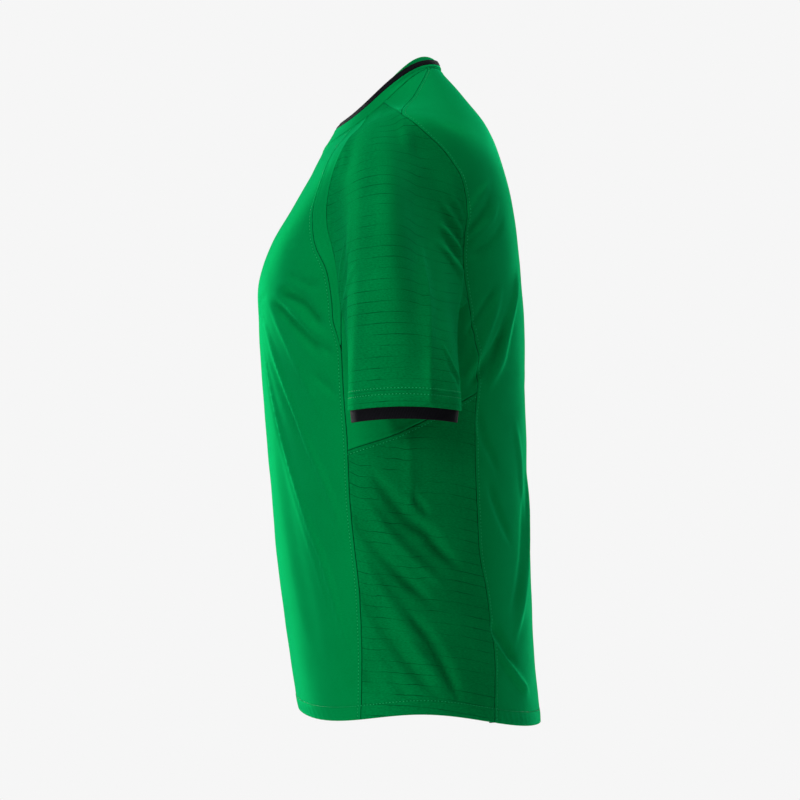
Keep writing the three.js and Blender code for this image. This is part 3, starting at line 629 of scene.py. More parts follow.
class SleeveShape:
    """The left sleeve's surface, by the share of the way round the armhole and down the sleeve."""

    samples: int = 90
    table_around: int = 720
    table_down: int = 240
    ease: int = 46

    def __init__(self, body: Body) -> None:
        """Walks round the armhole and starts a line down the sleeve at each place.

        Args:
            body: The body that the sleeve is sewn to.
        """
        self.body = body
        t = np.linspace(0, 1, self.samples)
        chest = lerp(body.armhole_front, NECK_SEAM, t)
        over = lerp(NECK_SEAM, body.shoulder_tip, t)
        down = lerp(body.shoulder_tip, body.armhole_back, t)
        under = 1 - t
        neck_front = float(body.front_angle(np.array(float(NECK_SEAM))))
        neck = lerp(neck_front, SLEEVE_AT_NECK_BACK * DEGREE, t)
        under_level = body.underarm_level(under)
        stretches = (
            (body.front_angle(chest), chest, CUFF_FRONT, CUFF_NECK_FRONT),
            (neck, np.full(t.shape, float(NECK_SEAM)), CUFF_NECK_FRONT, CUFF_NECK_BACK),
            (body.shoulder_front_angle(over), over, CUFF_NECK_BACK, CUFF_TIP),
            (body.back_angle(down), down, CUFF_TIP, CUFF_BACK),
            (body.side_angle(under, under_level), under_level, CUFF_BACK, CUFF_FRONT + 360),
        )
        angles, levels, cuffs, lengths = [], [], [], []
        total = 0.0
        for angle, level, first, last in stretches:
            points = body.cloth(angle, level)
            way = np.concatenate(([0], np.cumsum(np.linalg.norm(np.diff(points, axis=0), axis=1))))
            angles.append(angle[:-1])
            levels.append(level[:-1])
            cuffs.append(lerp(first, last, way / way[-1])[:-1])
            lengths.append((total + way)[:-1])
            total += way[-1]
        self.share = joined(lengths, total) / total
        self.angle = joined(angles, angles[0][0])
        self.level = joined(levels, levels[0][0])
        self.cuff = joined(cuffs, CUFF_FRONT + 360)
        self.normal = body.normal(self.angle, self.level)
        near_neck = (self.level > NECK_SEAM - STEP)[:, None]
        self.seam_way = np.where(near_neck, body.neck_way(self.angle), self.normal)
        turn = np.where(self.cuff > 180, self.cuff - 360, self.cuff)
        flows = [Curve([row[0] for row in SLEEVE_FLOWS], [row[i] for row in SLEEVE_FLOWS]) for i in range(1, 6)]
        flow = np.stack([curve.at(turn) for curve in flows[:3]], axis=-1)
        self.in_plane = flows[3].at(turn)
        above = self.level > body.shoulder_tip + STEP
        crown = self.crown_front()
        crown_share = np.clip((self.cuff - crown) / (CUFF_TIP - crown), 0, 1)
        crown_angle = lerp(body.front_angle(body.shoulder_tip), body.back_angle(body.shoulder_tip), crown_share)
        self.leave_angle = np.where(above, crown_angle, self.angle)
        self.leave_level = np.where(above, body.shoulder_tip, self.level)
        self.point = body.cloth(self.leave_angle, self.leave_level)
        self.first = np.linalg.norm(self.point - body.cloth(self.angle, self.level), axis=1)
        self.end = SleeveEnd().at(self.cuff)
        self.way = np.linalg.norm(self.end - self.point, axis=1)
        leaving = body.normal(self.leave_angle, self.leave_level)
        flow = flow - leaving * ((flow * leaving).sum(-1) * self.in_plane)[:, None]
        self.start = unit(flow) * (flows[4].at(turn) * self.way)[:, None]
        self.finish = np.array(SLEEVE_END_FLOW) * (self.way * SLEEVE_END_REACH)[:, None]
        self.table = self.relaxed()

    def crown_front(self) -> float:
        """The angle on the cuff where the raglan seam crosses the shoulder tip's level."""
        rising = self.samples - 1
        return float(np.interp(self.body.shoulder_tip, self.level[:rising], self.cuff[:rising]))

    def read(self, values: Array, around: Array) -> Array:
        """Reads a row of values at places round the armhole.

        Args:
            values: One value or vector for each sample.
            around: Shares of the way round.

        Returns:
            The values there.
        """
        around = around % 1.0
        if values.ndim == 1:
            return np.interp(around, self.share, values)
        return np.stack([np.interp(around, self.share, values[:, i]) for i in range(values.shape[1])], axis=-1)

    def relaxed(self) -> Array:
        """Tabulates the surface, eased round the sleeve so that its lines leave no hard ridge.

        Returns:
            Points by the way down and the way round, with the first column again at the end.
        """
        around = np.arange(self.table_around) / self.table_around
        down = np.linspace(0, 1, self.table_down + 1)
        tight = self.crossing(*np.meshgrid(around, down))
        shifts = np.arange(-3 * self.ease, 3 * self.ease + 1)
        weights = np.exp(-0.5 * (shifts / self.ease) ** 2)
        weights = weights / weights.sum()
        once = sum(w * np.roll(tight, s, axis=1) for s, w in zip(shifts, weights))
        twice = sum(w * np.roll(once, s, axis=1) for s, w in zip(shifts, weights))
        eased = 2 * once - twice
        fade = smooth_step(down, 0.01, 0.16) * smooth_step(1 - down, 0, 0.25)
        table = lerp(tight, eased, fade[:, None, None])
        return np.concatenate((table, table[:, :1]), axis=1)

    def bare(self, around: Array, down: Array) -> Array:
        """The surface without its own folds, read from the table.

        Args:
            around: Shares of the way round the armhole.
            down: Shares of the way from the armhole to the hem.

        Returns:
            Points in millimetres.
        """
        x = (around % 1.0) * self.table_around
        y = np.clip(down, 0, 1) * self.table_down
        i = np.minimum(x.astype(int), self.table_around - 1)
        j = np.minimum(y.astype(int), self.table_down - 1)
        s, t = (x - i)[..., None], (y - j)[..., None]
        above = lerp(self.table[j, i], self.table[j, i + 1], s)
        below = lerp(self.table[j + 1, i], self.table[j + 1, i + 1], s)
        return lerp(above, below, t)

    def crossing(self, around: Array, down: Array) -> Array:
        """The surface of the sleeve's lines.

        Args:
            around: Shares of the way round the armhole, from the underarm's front corner upwards.
            down: Shares of the way from the armhole to the hem.

        Returns:
            Points in millimetres.
        """
        first, way = self.read(self.first, around), self.read(self.way, around)
        travelled = down * (first + way)
        s = np.clip((travelled - first) / way, 0, 1)[..., None]
        s2, s3 = s * s, s * s * s
        points = (
            self.read(self.point, around) * (2 * s3 - 3 * s2 + 1)
            + self.read(self.start, around) * (s3 - 2 * s2 + s)
            + self.read(self.end, around) * (3 * s2 - 2 * s3)
            + self.read(self.finish, around) * (s3 - s2)
        )
        crown = travelled < first
        t = (travelled / np.maximum(first, STEP))[crown]
        angle = lerp(self.read(self.angle, around)[crown], self.read(self.leave_angle, around)[crown], t)
        level = lerp(self.read(self.level, around)[crown], self.read(self.leave_level, around)[crown], t)
        points[crown] = self.body.cloth(angle, level)
        return points

    def bare_normal(self, around: Array, down: Array) -> Array:
        """The way out of the sleeve's surface without its folds."""
        high, low = np.clip(down - STEP, 0, 1), np.clip(down + STEP, 0, 1)
        across = self.bare(around + STEP, down) - self.bare(around - STEP, down)
        return unit(np.cross(across, self.bare(around, high) - self.bare(around, low)))

    def cloth(self, around: Array, down: Array, folds: Sequence[Fold]) -> Array:
        """The surface with its folds.

        Args:
            around: Shares of the way round the armhole.
            down: Shares of the way down the sleeve.
            folds: The sleeve's folds.

        Returns:
            Points in millimetres.
        """
        cuff = self.read(self.cuff, around)
        lift = fold_heights(folds, SLEEVE_RADIUS, cuff, down * SLEEVE_LENGTH)
        lift = lift * np.clip(down / SLEEVE_FOLDS_FROM, 0, 1) * np.clip((1 - down) / SLEEVE_FOLDS_TO, 0, 1)
        return self.bare(around, down) + self.bare_normal(around, down) * lift[..., None]


# ---------------------------------------------------------------- cloth pieces


class EdgeKind(Enum):
    """How an edge of a piece is finished."""

    SEAM = "turned in and sewn to its neighbour"
    HEM = "turned up inside"
    HIDDEN = "left flat under another piece"


# Rows of the grid near an edge, in millimetres from it, and beside a row of stitches
NEAR_EDGE = (1.0, 2.1, 3.4, 4.8, 6.2)
NEXT_ROW, ROWS_APART = 8.2, 2.4
SEAM_REACH, PAST_STITCHES = 5.5, 1.6
STITCH_CLEARANCE, STITCH_SIDE = 1.4, 0.75
STITCH_GROOVE = 0.7


@dataclass(frozen=True)
class Edge:
    """The finish of one edge: how tightly it turns, how much is turned in, and its rows of stitches."""

    kind: EdgeKind
    radius: float = 1.0
    turned_in: float = 4.5
    stitches: tuple[float, ...] = ()
    stitch_dip: float = 0.32
    lift: float = 0.3
    pucker: float = 0.12
    pucker_pitch: float = 9.0
    clearance: float = 0.1

    def profile(self) -> tuple[Array, Array, Array]:
        """Steps across the edge, from the end of what is turned in to the open cloth.

        Returns:
            The distance in from the edge, the depth under the surface and the way along the cloth.
        """
        reach = max((*self.stitches, SEAM_REACH)) + PAST_STITCHES
        open_steps = [*NEAR_EDGE, *np.arange(NEXT_ROW, reach, ROWS_APART)]
        for line in self.stitches:
            open_steps = [s for s in open_steps if abs(s - line) > STITCH_CLEARANCE]
            open_steps += [line - STITCH_SIDE, line, line + STITCH_SIDE]
        beyond = np.array(sorted(s for s in open_steps if s <= reach))
        if self.kind is EdgeKind.HIDDEN:
            inward = np.concatenate(([0.0], beyond))
            return inward, np.zeros(len(inward)), inward
        arc = self.radius * math.pi / 2
        beyond = beyond[beyond > self.radius + self.clearance + 0.3]
        if self.kind is EdgeKind.SEAM:
            turn = np.array([0, 0.25, 0.5, 0.75, 1]) * arc
            tucked = -np.array([self.turned_in, self.turned_in / 2])
            inward = np.concatenate((
                np.full(len(tucked), self.clearance),
                self.clearance + self.radius * (1 - np.cos(turn / self.radius)),
                beyond,
            ))
            depth = np.concatenate((
                self.radius - tucked, self.radius * (1 - np.sin(turn / self.radius)), 0 * beyond,
            ))
            along = np.concatenate((tucked, turn, beyond - self.clearance - self.radius + arc))
            return inward, depth, along
        turn = np.linspace(-1, 1, 7) * arc
        tucked = -np.concatenate((np.arange(self.turned_in, arc + 1.5, -2.6), [arc + 0.8]))
        inward = np.concatenate((
            self.radius - tucked - arc, self.radius * (1 - np.cos(turn / self.radius)), beyond,
        ))
        depth = np.concatenate((
            np.full(len(tucked), 2 * self.radius), self.radius * (1 - np.sin(turn / self.radius)), 0 * beyond,
        ))
        along = np.concatenate((tucked, turn, beyond - self.radius + arc))
        return inward, depth, along

    def relief(self, inward: Array, along: Array) -> Array:
        """How stitches and what is turned in shape the cloth near the edge.

        Args:
            inward: Distances from the edge.
            along: Ways along the edge.

        Returns:
            The lift at each point.
        """
        if self.kind is EdgeKind.HIDDEN:
            return np.zeros(np.broadcast(inward, along).shape)
        last = self.stitches[-1] if self.stitches else 3.2
        under = 1 - smooth_step(inward, last - 0.3, last + 1.3)
        lift = self.lift * under
        for line in self.stitches:
            lift = lift - self.stitch_dip * np.exp(-(((inward - line) / STITCH_GROOVE) ** 2))
        wander = 1.3 * np.sin(along / 37) + 0.9 * np.sin(along / 17.3)
        waves = np.sin(2 * math.pi * (along + 0.45 * inward) / self.pucker_pitch + wander)
        strength = 0.6 + 0.4 * np.sin(along / 23.0 + 1.0)
        fade = np.exp(-(((inward - last / 2) / (last / 2 + 4)) ** 2))
        return lift + self.pucker * waves * strength * fade


PLAIN_SEAM = Edge(EdgeKind.SEAM)
STITCHED_SEAM = Edge(EdgeKind.SEAM, stitches=(4.0,), turned_in=6.0, pucker=0.16)
BODY_HEM = Edge(
    EdgeKind.HEM, radius=0.65, turned_in=14.5, stitches=(13.6,), pucker=0.34, pucker_pitch=11.0, lift=0.4,
)
SLEEVE_HEM = Edge(EdgeKind.HEM, radius=0.65, turned_in=19.0, stitches=(12.0, 18.0), pucker=0.12, lift=0.4)
BAND_FOLD = Edge(EdgeKind.HEM, radius=0.68, turned_in=5.0, lift=0, pucker=0)
HIDDEN_EDGE = Edge(EdgeKind.HIDDEN)


@dataclass
class Laid:
    """Cloth laid out as a grid: points, the way out, the place on the flat cloth and painted seam shade."""

    points: Array
    normals: Array
    flat: Array
    seam: Array
    closed: bool

    def area(self) -> float:
        """The cloth's area in square millimetres."""
        across = np.diff(self.points, axis=1)[:-1]
        up = np.diff(self.points, axis=0)[:, :-1]
        return float(np.linalg.norm(np.cross(across, up), axis=-1).sum())


def run_lengths(points: Array, axis: int) -> Array:
    """The way travelled along each line of a grid.

    Args:
        points: A grid of points.
        axis: The axis to travel along.

    Returns:
        The length up to each point.
    """
    steps = np.linalg.norm(np.diff(points, axis=axis), axis=-1)
    start = np.zeros_like(np.take(steps, [0], axis=axis))
    return np.cumsum(np.concatenate((start, steps), axis=axis), axis=axis)


def placed_steps(low: Edge | None, high: Edge | None, lengths: Array, count: int) -> tuple[Array, ...]:
    """Where rows or columns go, close together near the edges.

    Args:
        low: The edge where they start, or none on a ring.
        high: The edge where they end.
        lengths: How long the cloth is along each line across the rows.
        count: How many steps lie between the edges.

    Returns:
        For each step and line the distance from the low edge, and for each step the depth and the way
        along the cloth at either edge, with zeros away from it.
    """
    if low is None or high is None:
        shares = np.linspace(0, 1, count + 1)
        zeros = np.zeros(len(shares))
        return shares[:, None] * lengths[None, :], zeros, zeros, zeros, zeros
    def padded(part: Array, before: int, after: int) -> Array:
        """Adds zeros before and after."""
        return np.concatenate((np.zeros(before), part, np.zeros(after)))

    low_in, low_depth, low_along = low.profile()
    high_in, high_depth, high_along = (part[::-1] for part in high.profile())
    squeeze_low = np.minimum(1, 0.42 * lengths / low_in.max())
    squeeze_high = np.minimum(1, 0.42 * lengths / high_in.max())
    first = low_in[:, None] * squeeze_low[None, :]
    last = lengths[None, :] - high_in[:, None] * squeeze_high[None, :]
    t = (np.arange(1, count + 1) / (count + 1))[:, None]
    middle = lerp(first[-1], last[0], t)
    places = np.concatenate((first, middle, last))
    size_low, size_high = len(low_in), len(high_in)
    return (
        places,
        padded(low_depth, 0, count + size_high),
        padded(high_depth, size_low + count, 0),
        padded(np.minimum(low_along, 0) - np.where(low_along < 0, low_in, 0), 0, count + size_high),
        padded(np.minimum(high_along, 0) - np.where(high_along < 0, high_in, 0), size_low + count, 0),
    )


def painted_seam_shade(edge: Edge | None, depth: Array, inward: Array) -> Array:
    """Painted shade in a seam's groove and along stitches, 0 on top and 1 where the cloth meets its neighbour.

    Args:
        edge: The edge's finish, or none on a ring.
        depth: Depths under the surface.
        inward: Distances from the edge.

    Returns:
        The share at each depth.
    """
    share = np.zeros(np.broadcast(depth, inward).shape)
    if edge is None:
        return share
    for line in edge.stitches:
        share = share + STITCH_SHADE * np.exp(-(((inward - line) / 0.6) ** 2)) * (depth == 0)
    if edge.kind is EdgeKind.SEAM:
        share = share + np.clip(depth / edge.radius, 0, 1)
    return share


@dataclass
class Cut:
    """A piece of cloth to lay over a surface.

    surface gives points by shares across and up. The edges are its finishes. top_way and bottom_way
    give, by the share across, which way the top or bottom edge turns in and how much of its turn is
    kept, where that isn't simply under the surface.
    """

    surface: Surface
    columns: int
    rows: int
    bottom: Edge
    top: Edge
    left: Edge | None = None
    right: Edge | None = None
    top_way: TurnIn | None = None
    bottom_way: TurnIn | None = None
    uneven: float = 1.0
    coarse: int = 61

    def lay(self) -> Laid:
        """Lays the cloth.

        Returns:
            The grid of points.
        """
        closed = self.left is None
        u = np.linspace(0, 1, self.coarse * (3 if closed else 1))
        v = np.linspace(0, 1, 121)
        up = run_lengths(self.surface(*np.meshgrid(u, v)), 0)
        heights, b_depth, t_depth, b_along, t_along = placed_steps(self.bottom, self.top, up[-1], self.rows)
        v_rows = np.stack([np.interp(heights[:, i], up[:, i], v) for i in range(len(u))], axis=1)
        row_u = np.broadcast_to(u, v_rows.shape)
        across = run_lengths(self.surface(row_u, v_rows), 1)
        places, l_depth, r_depth, l_along, r_along = placed_steps(
            self.left, self.right, across[:, -1], self.columns)
        places = places.T
        grid_u = np.stack([np.interp(places[j], across[j], u) for j in range(len(places))])
        grid_v = np.stack([np.interp(grid_u[j], u, v_rows[j]) for j in range(len(places))])
        up_in = np.stack([np.interp(grid_u[j], u, heights[j]) for j in range(len(places))])
        tall = np.interp(grid_u, u, up[-1])
        wide = across[:, -1][:, None]
        points = self.surface(grid_u, grid_v)
        normals = self.normals(grid_u, grid_v, closed)
        side_depth = np.broadcast_to(l_depth + r_depth, grid_u.shape)
        end_depth = (b_depth + t_depth)[:, None] * np.ones_like(grid_u)
        # painted shade: darker deep in the seam grooves and along rows of stitches
        across_shares = (painted_seam_shade(self.left, l_depth, places), painted_seam_shade(self.right, r_depth, wide - places))
        up_shares = (
            painted_seam_shade(self.bottom, b_depth[:, None], up_in), painted_seam_shade(self.top, t_depth[:, None], tall - up_in),
        )
        seam = np.max(across_shares + up_shares, axis=0)
        relief = self.uneven * ripple(points)
        relief = relief * smooth_step(up_in, 0, 8) * smooth_step(tall - up_in, 0, 8)
        if not closed:
            relief = relief * smooth_step(places, 0, 8) * smooth_step(wide - places, 0, 8)
            relief = relief + self.left.relief(places, up_in) + self.right.relief(wide - places, up_in)
        for edge, inward in ((self.bottom, up_in), (self.top, tall - up_in)):
            on_edge = edge.relief(inward, places)
            if closed:
                join = smooth_step(places, wide - RING_JOIN, wide)
                on_edge = lerp(on_edge, edge.relief(inward, places - wide), join)
            relief = relief + on_edge
        ways = normals.copy()
        for way, rows in ((self.top_way, t_depth > 0), (self.bottom_way, b_depth > 0)):
            if way is None:
                continue
            to_inside, keep = way(grid_u)
            edge = self.top if way is self.top_way else self.bottom
            turn = np.minimum(end_depth, edge.radius) * keep + np.maximum(end_depth - edge.radius, 0)
            mask = rows[:, None] & np.ones_like(grid_u, bool)
            ways = np.where(mask[..., None], to_inside, ways)
            end_depth = np.where(mask, turn, end_depth)
            relief = np.where(mask, relief * keep, relief)
        by_end = end_depth >= side_depth
        way = np.where(by_end[..., None], ways, normals)
        depth = np.maximum(end_depth, side_depth)
        points = points + normals * relief[..., None] - way * depth[..., None]
        flat = np.stack([places + l_along - r_along, up_in + (b_along - t_along)[:, None]], axis=-1)
        return Laid(points, normals, flat, seam, closed)

    def normals(self, u: Array, v: Array, closed: bool) -> Array:
        """The way out of the surface.

        Args:
            u: Shares across.
            v: Shares up.
            closed: Whether the cloth goes once round.

        Returns:
            Vectors of length one.
        """
        left, right = (u - STEP, u + STEP) if closed else (np.clip(u - STEP, 0, 1), np.clip(u + STEP, 0, 1))
        across = self.surface(right, v) - self.surface(left, v)
        up = self.surface(u, np.clip(v + STEP, 0, 1)) - self.surface(u, np.clip(v - STEP, 0, 1))
        return unit(np.cross(across, up))


@dataclass(frozen=True)
class Piece:
    """What a finished piece of cloth is called, stands for and was cut to."""

    name: str
    node: str
    slot: str
    cut: tuple[float, float]
    area: float
    held: str = "stretched"
    thickness: float = 0.6

    def sew(self, laid: Laid, material: bpy.types.Material) -> bpy.types.Object:
        """Makes the cloth's mesh and object.

        Args:
            laid: The grid of points.
            material: Its finish.

        Returns:
            The finished object.
        """
        rows, columns = laid.points.shape[:2]
        mesh_work = bmesh.new()
        bmesh.ops.create_grid(mesh_work, x_segments=columns - 1, y_segments=rows - 1, size=1.0)
        uv_layer = mesh_work.loops.layers.uv.new("cloth")
        # per-point share of painted seam shade, which the material reads
        painted_seam_shade_layer = mesh_work.verts.layers.float.new("seam")
        places = {}
        for vert in mesh_work.verts:
            column = round((vert.co.x + 1) / 2 * (columns - 1))
            row = round((vert.co.y + 1) / 2 * (rows - 1))
            places[vert] = laid.flat[row, column] * MM
            vert[painted_seam_shade_layer] = laid.seam[row, column]
            vert.co = laid.points[row, column] * MM
        for face in mesh_work.faces:
            face.smooth = True
            for loop in face.loops:
                loop[uv_layer].uv = places[loop.vert]
        if laid.closed:
            bmesh.ops.remove_doubles(mesh_work, verts=mesh_work.verts, dist=1e-6)
        mesh = bpy.data.meshes.new(self.name)
        mesh_work.to_mesh(mesh)
        mesh_work.free()
        mesh.materials.append(material)
        made = bpy.data.objects.new(self.name, mesh)
        bpy.context.scene.collection.objects.link(made)
        wall = made.modifiers.new("cloth thickness", "SOLIDIFY")
        wall.thickness = self.thickness * MM
        wall.offset = -1.0
        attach(made, "root")
        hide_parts(self.node)
        LOG.info(
            "%s: %d x %d points, %.0f x %.0f mm flat, %.4f square metres",
            self.name, columns, rows, np.ptp(laid.flat[..., 0]), np.ptp(laid.flat[..., 1]), laid.area() * 1e-6,
        )
        return made


def turned(surface: Surface, side: Side) -> Surface:
    """A surface with its columns the other way round on the right, so that it still faces out.

    Args:
        surface: The left side's surface.
        side: The side wanted.

    Returns:
        The surface on that side.
    """
    return lambda u, v: surface(side.share(u), v)


# ---------------------------------------------------------------- finishes


class Nodes:
    """Short ways to build a material's nodes."""

    def __init__(self, name: str) -> None:
        """Starts an empty material.

        Args:
            name: The material's name.
        """
        self.material = bpy.data.materials.new(name)
        self.material.use_nodes = True
        self.tree = self.material.node_tree
        self.tree.nodes.clear()

    def add(self, kind: str, inputs: dict[str, object] | None = None, **settings: object) -> bpy.types.Node:
        """Adds a node.

        Args:
            kind: The node's type.
            inputs: Values or sockets for its inputs, by name or number.
            **settings: Settings of the node.

        Returns:
            The node.
        """
        node = self.tree.nodes.new(kind)
        for setting, value in settings.items():
            setattr(node, setting, value)
        for key, value in (inputs or {}).items():
            socket = node.inputs[key]
            if isinstance(value, bpy.types.NodeSocket):
                self.tree.links.new(value, socket)
            else:
                socket.default_value = value
        return node

    def math(self, operation: str, a: object, b: object = 0.0, c: object = 0.0) -> bpy.types.NodeSocket:
        """A sum of up to three numbers or sockets."""
        return self.add("ShaderNodeMath", {0: a, 1: b, 2: c}, operation=operation).outputs[0]

    def spread(self, value: object, low: float, high: float, to_low: float, to_high: float) -> bpy.types.NodeSocket:
        """Maps a number from one range to another."""
        inputs = {"Value": value, "From Min": low, "From Max": high, "To Min": to_low, "To Max": to_high}
        return self.add("ShaderNodeMapRange", inputs).outputs["Result"]

    def blend(self, share: object, a: object, b: object) -> bpy.types.NodeSocket:
        """Mixes two colours."""
        node = self.add("ShaderNodeMix", data_type="RGBA")
        for index, value in ((0, share), (6, a), (7, b)):
            if isinstance(value, bpy.types.NodeSocket):
                self.tree.links.new(value, node.inputs[index])
            else:
                node.inputs[index].default_value = value
        return node.outputs[2]

    def finish(self, shader: bpy.types.Node) -> bpy.types.Material:
        """Joins the shader to the output and returns the material."""
        output = self.tree.nodes.new("ShaderNodeOutputMaterial")
        self.tree.links.new(shader.outputs[0], output.inputs["Surface"])
        return self.material


def linear(red: int, green: int, blue: int) -> tuple[float, float, float, float]:
    """A colour as light, from its screen values of 0 to 255."""
    def channel(value: int) -> float:
        """One screen value as light."""
        share = value / 255
        return share / 12.92 if share <= 0.04045 else ((share + 0.055) / 1.055) ** 2.4
    return channel(red), channel(green), channel(blue), 1.0


@dataclass(frozen=True)
class Knit:
    """Polyester knit: small loops, slightly uneven colour, a soft sheen, pin lines if any, painted shade in seams."""

    name: str
    colour: tuple[int, int, int]
    deep: tuple[int, int, int]
    sheen_colour: tuple[float, float, float, float] = (0.02, 1.0, 0.42, 1.0)
    loop_pitch: float = 0.9
    roughness: float = 0.5
    specular: float = 0.0
    sheen: float = 0.35
    satin: float = 0.12
    bump: float = 0.12
    relief: float = 0.0004
    fibre_scale: tuple[float, float, float] = (330.0, 900.0, 1.0)
    cloud_scale: float = 26.0
    patch_scale: float = 34.0
    wobble_scale: float = 120.0
    line_pitch: float = 0.0
    line_width: float = 0.45
    line_colour: tuple[int, int, int] = (0, 78, 37)
    # colour of the painted shade in seam grooves and along stitches
    painted_seam_shade_colour: tuple[int, int, int] = (0, 24, 10)

    def material(self) -> bpy.types.Material:
        """Builds the material.

        Returns:
            The finished material.
        """
        nodes = Nodes(self.name)
        uv = nodes.add("ShaderNodeUVMap", uv_map="cloth").outputs["UV"]
        place = nodes.add("ShaderNodeTexCoord").outputs["Object"]
        flat = nodes.add("ShaderNodeSeparateXYZ", {0: uv}).outputs
        pitch = self.loop_pitch * MM
        wales = nodes.math("SINE", nodes.math("MULTIPLY", flat[0], 2 * math.pi / pitch))
        courses = nodes.math("SINE", nodes.math("MULTIPLY", flat[1], 2 * math.pi / (pitch * 0.8)))
        loops = nodes.math("MULTIPLY", wales, courses)
        weft = nodes.add("ShaderNodeMapping", {"Vector": uv, "Scale": self.fibre_scale}).outputs[0]
        fine = nodes.add("ShaderNodeTexNoise", {"Vector": weft, "Scale": 1.0, "Detail": 2.0}).outputs[0]
        broad = nodes.add("ShaderNodeTexNoise", {"Vector": place, "Scale": self.cloud_scale, "Detail": 3.0}).outputs[0]
        tone = nodes.math("ADD", nodes.math("MULTIPLY", fine, 0.7), nodes.math("MULTIPLY", broad, 0.3))
        tone = nodes.math("MULTIPLY_ADD", loops, 0.10, tone)
        share = nodes.spread(tone, 0.25, 0.75, 0.0, 1.0)
        colour = nodes.blend(share, linear(*self.deep), linear(*self.colour))
        height = nodes.math("MULTIPLY_ADD", loops, 0.5, fine)
        if self.line_pitch:
            wobble = nodes.add("ShaderNodeTexNoise", {"Vector": place, "Scale": self.wobble_scale, "Detail": 1.0})
            along = nodes.math("MULTIPLY_ADD", wobble.outputs[0], 0.5 * MM, flat[1])
            turn = nodes.math("DIVIDE", along, self.line_pitch * MM)
            away = nodes.math("ABSOLUTE", nodes.math("SUBTRACT", nodes.math("FRACT", turn), 0.5))
            width = self.line_width / self.line_pitch
            line = nodes.spread(away, 0.5 * width, 1.1 * width, 1.0, 0.0)
            patches = nodes.add("ShaderNodeTexNoise", {"Vector": place, "Scale": self.patch_scale, "Detail": 2.0})
            seen = nodes.spread(patches.outputs[0], 0.4, 0.66, 0.1, 0.9)
            line = nodes.math("MULTIPLY", line, seen)
            colour = nodes.blend(line, colour, linear(*self.line_colour))
            height = nodes.math("MULTIPLY_ADD", line, -1.5, height)
        # painted shade: the colour darkens in seam grooves and along stitches
        depth = nodes.add("ShaderNodeAttribute", attribute_name="seam").outputs["Fac"]
        colour = nodes.blend(nodes.spread(depth, 0.1, 0.75, 0.0, 1.0), colour, linear(*self.painted_seam_shade_colour))
        rough = nodes.spread(fine, 0.3, 0.7, self.roughness - 0.05, self.roughness + 0.05)
        bump = nodes.add("ShaderNodeBump", {"Height": height, "Strength": self.bump, "Distance": self.relief})
        shader = nodes.add("ShaderNodeBsdfPrincipled", {
            "Base Color": colour,
            "Roughness": rough,
            "Normal": bump.outputs[0],
            "Specular IOR Level": self.specular,
            "Specular Tint": self.sheen_colour,
            "Metallic": self.satin,
            "Sheen Weight": self.sheen,
            "Sheen Roughness": 0.45,
            "Sheen Tint": self.sheen_colour,
        })
        return nodes.finish(shader)


@dataclass(frozen=True)
class Rib:
    """Black rib: fine upright ribs with a dull surface, and painted shade in the grooves between them."""

    name: str = "black rib knit"
    colour: tuple[int, int, int] = (25, 25, 30)
    # colour of the painted shade in the grooves between the ribs
    rib_groove_shade: tuple[int, int, int] = (11, 11, 14)
    pitch: float = 1.5

    def material(self) -> bpy.types.Material:
        """Builds the material.

        Returns:
            The finished material.
        """
        nodes = Nodes(self.name)
        uv = nodes.add("ShaderNodeUVMap", uv_map="cloth").outputs["UV"]
        place = nodes.add("ShaderNodeTexCoord").outputs["Object"]
        flat = nodes.add("ShaderNodeSeparateXYZ", {0: uv}).outputs
        ribs = nodes.math("SINE", nodes.math("MULTIPLY", flat[0], 2 * math.pi / (self.pitch * MM)))
        fine = nodes.add("ShaderNodeTexNoise", {"Vector": place, "Scale": 1100.0, "Detail": 2.0}).outputs[0]
        height = nodes.math("MULTIPLY_ADD", ribs, 0.5, fine)
        share = nodes.spread(height, 0.0, 1.0, 0.0, 1.0)
        # painted shade: darker where the ribs dip
        colour = nodes.blend(share, linear(*self.rib_groove_shade), linear(*self.colour))
        rough = nodes.spread(fine, 0.3, 0.7, 0.72, 0.85)
        bump = nodes.add("ShaderNodeBump", {"Height": height, "Strength": 0.3, "Distance": 0.0004})
        shader = nodes.add("ShaderNodeBsdfPrincipled", {
            "Base Color": colour,
            "Roughness": rough,
            "Normal": bump.outputs[0],
            "Specular IOR Level": 0.04,
        })
        return nodes.finish(shader)


@dataclass(frozen=True)
class Thread:
    """Sewing thread, twisted, with a slight gloss; its light colour is partly a painted highlight."""

    name: str = "green thread"
    # lighter than the cloth: partly the thread's own colour, partly a painted highlight of thread catching light
    colour: tuple[int, int, int] = (40, 200, 120)
    deep: tuple[int, int, int] = (10, 150, 80)

    def material(self) -> bpy.types.Material:
        """Builds the material.

        Returns:
            The finished material.
        """
        nodes = Nodes(self.name)
        place = nodes.add("ShaderNodeTexCoord").outputs["Object"]
        twist = nodes.add("ShaderNodeTexNoise", {"Vector": place, "Scale": 2200.0, "Detail": 1.0}).outputs[0]
        colour = nodes.blend(twist, linear(*self.deep), linear(*self.colour))
        rough = nodes.spread(twist, 0.3, 0.7, 0.4, 0.6)
        bump = nodes.add("ShaderNodeBump", {"Height": twist, "Strength": 0.3, "Distance": 0.0001})
        shader = nodes.add("ShaderNodeBsdfPrincipled", {
            "Base Color": colour,
            "Roughness": rough,
            "Normal": bump.outputs[0],
            "Specular IOR Level": 0.1,
        })
        return nodes.finish(shader)


